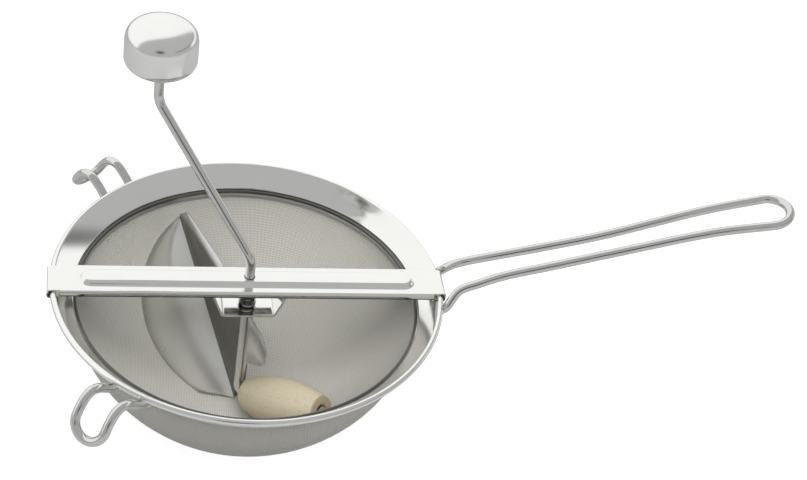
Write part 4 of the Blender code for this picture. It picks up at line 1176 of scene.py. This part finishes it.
# The knob is a hollow shell drawn from steel sheet with a full, rounded top. A plate closes it from below,
# round a plain bushing that turns on the pin.
knob_radius = 0.0199
knob_height = 0.0265
knob_shoulder = 0.0120
knob_sheet = 0.0008
knob_fullness = 3.0
knob_steps = 28
knob_bottom_edge = 0.0050
knob_lip_radius = 0.0135
knob_place = crank_out * crank_throw + Vector((0, 0, knob_bottom))
knob_colour = (0.95, 0.95, 0.935)
knob_gloss = (0.16, 0.26)
nylon_light = (0.84, 0.83, 0.78)
nylon_dark = (0.76, 0.75, 0.70)
nylon_cloud = 160.0
nylon_gloss = (0.40, 0.52)


def knob_line():
    """Middle line of the shell from the centre of its top, down its side and in under it."""
    radius = knob_radius - knob_sheet / 2
    half = knob_sheet / 2
    shoulder_foot = knob_height - half - knob_shoulder
    power = 2 / knob_fullness
    line = []
    for step in range(knob_steps + 1):
        angle = math.pi / 2 * step / knob_steps
        rise = knob_shoulder * max(math.cos(angle), 0) ** power
        line.append(Vector((radius * math.sin(angle) ** power, shoulder_foot + rise)))
    foot = [line[-1], Vector((radius, half)), Vector((knob_lip_radius, half))]
    return line[:-1] + rounded(foot, [knob_bottom_edge], steps=12)


def moulded_nylon():
    """Plain moulded nylon, slightly clouded."""
    material, tree, shader = new_material("moulded_nylon")
    cloud = noise(tree, object_place(tree), nylon_cloud)
    paint(tree, shader, blend_colours(tree, cloud, nylon_light, nylon_dark), cloud, nylon_gloss)
    return material


knob_form = spun(knob_line(), steps=128)
bmesh.ops.translate(knob_form, verts=knob_form.verts, vec=knob_place)
knob_steel = pressed_steel("knob_steel", knob_colour, knob_gloss)
knob = make_piece("knob_drawn_shell", knob_form, knob_steel, "knob", "knob_sheet", "knob_shell")
give_wall(knob, knob_sheet)
refinish(knob_steel, "knob_base_plate")
refinish(moulded_nylon(), "knob_bushing")

# The studio is a pale floor and three soft boxes. The camera sees white all round, and the steel mirrors a
# grey room: white at the back left and low at the back, dim on the right and dark in front.
floor_half = 6.0
floor_colour = (0.30, 0.30, 0.30)
floor_roughness = 0.9
floor_seen = 0.88
floor_mirrored = 0.20
room_level = 0.46
room_tint = (1.0, 1.0, 0.99)
white_wall = (0.33, 0.41)
white_wall_turn = 0.62
strip_top = (0.27, 0.17)
strip_behind = (0.0, 0.25)
dark_level = 0.05
dark_way = Vector((-0.105, -0.92, 0.40)).normalized()
dark_edge = (0.972, 0.988)
dim_level = 0.20
dim_side = (0.55, 0.70)
dim_foot = (0.20, 0.24)
dim_top = (0.38, 0.28)
ambient_level = 0.30
box_target = Vector((0, 0, 0.05))


def studio_floor():
    form = bmesh.new()
    bmesh.ops.create_grid(form, x_segments=1, y_segments=1, size=floor_half)
    floor = new_object("studio_floor", form)
    material, tree, shader = new_material("studio_floor")
    shader.inputs["Base Color"].default_value = (*floor_colour, 1)
    shader.inputs["Roughness"].default_value = floor_roughness
    shader.inputs["Emission Color"].default_value = (1, 1, 1, 1)
    path = add_node(tree, "ShaderNodeLightPath")
    seen = maths(tree, "MULTIPLY", path.outputs["Is Camera Ray"], floor_seen)
    mirrored = maths(tree, "MULTIPLY", path.outputs["Is Glossy Ray"], floor_mirrored)
    tree.links.new(maths(tree, "ADD", seen, mirrored), shader.inputs["Emission Strength"])
    floor.data.materials.append(material)


def mirrored_room(tree, way):
    """Brightness of the room that the steel mirrors, by the way that a ray leaves."""
    parts = split(tree, way)
    toward_wall = maths(tree, "SUBTRACT", parts["Y"], maths(tree, "MULTIPLY", parts["X"], white_wall_turn))
    wall = between(tree, toward_wall, *white_wall)
    strip = maths(tree, "MULTIPLY", between(tree, parts["Z"], *strip_top),
                  between(tree, parts["Y"], *strip_behind))
    lit = remap(tree, maths(tree, "MAXIMUM", wall, strip), (0, 1), (room_level, 1))
    patch = between(tree, distance_along(tree, way, dark_way), *dark_edge)
    dark = maths(tree, "MULTIPLY", patch, room_level - dark_level)
    shelf = maths(tree, "MULTIPLY", between(tree, parts["Z"], *dim_foot),
                  between(tree, parts["Z"], *dim_top))
    beside = maths(tree, "MULTIPLY", between(tree, parts["X"], *dim_side), shelf)
    dim = maths(tree, "MULTIPLY", beside, room_level - dim_level)
    return maths(tree, "SUBTRACT", maths(tree, "SUBTRACT", lit, dark), dim)


def studio_sky():
    """The mirrored room for the steel, plain light for the rest, and white for the camera."""
    world = bpy.data.worlds.new("studio_sky")
    world.use_nodes = True
    bpy.context.scene.world = world
    tree = world.node_tree
    room = tree.nodes["Background"]
    room.inputs["Color"].default_value = (*room_tint, 1)
    path = add_node(tree, "ShaderNodeLightPath")
    way = add_node(tree, "ShaderNodeTexCoord").outputs["Generated"]
    chosen = add_node(tree, "ShaderNodeMix")
    chosen.inputs[2].default_value = ambient_level
    tree.links.new(path.outputs["Is Glossy Ray"], chosen.inputs[0])
    tree.links.new(mirrored_room(tree, way), chosen.inputs[3])
    tree.links.new(chosen.outputs[0], room.inputs["Strength"])
    white = add_node(tree, "ShaderNodeBackground")
    white.inputs["Color"].default_value = (1, 1, 1, 1)
    pick = add_node(tree, "ShaderNodeMixShader")
    tree.links.new(path.outputs["Is Camera Ray"], pick.inputs[0])
    tree.links.new(room.outputs[0], pick.inputs[1])
    tree.links.new(white.outputs[0], pick.inputs[2])
    tree.links.new(pick.outputs[0], tree.nodes["World Output"].inputs["Surface"])


def soft_box(name, place, size, power):
    """A square lamp that lights the mill but isn't mirrored in it."""
    lamp = bpy.data.lights.new(name, "AREA")
    lamp.shape = "SQUARE"
    lamp.size = size
    lamp.energy = power
    box = bpy.data.objects.new(name, lamp)
    box.visible_glossy = False
    bpy.context.scene.collection.objects.link(box)
    box.location = place
    box.rotation_euler = (box_target - Vector(place)).to_track_quat("-Z", "Y").to_euler()


studio_floor()
studio_sky()
soft_box("key_box", (0.05, -0.82, 1.62), size=1.4, power=36.0)
soft_box("left_box", (-1.3, -0.2, 0.45), size=0.7, power=4.0)
soft_box("right_box", (1.3, -0.2, 0.45), size=0.7, power=2.5)

# The camera looks down into the bowl over its front edge, from a little to the left.
camera_place = (-0.10469, -0.74493, 0.75317)
camera_turn = (50.445, -7.735, -7.840)
camera_lens = 79.27
camera_frame = 36
camera_data = bpy.data.cameras.new("photo_camera")
camera_data.lens = camera_lens
camera_data.sensor_width = camera_frame
camera = bpy.data.objects.new("photo_camera", camera_data)
bpy.context.scene.collection.objects.link(camera)
camera.location = camera_place
camera.rotation_euler = [math.radians(angle) for angle in camera_turn]
bpy.context.scene.camera = camera
bpy.context.scene.view_settings.view_transform = "Standard"
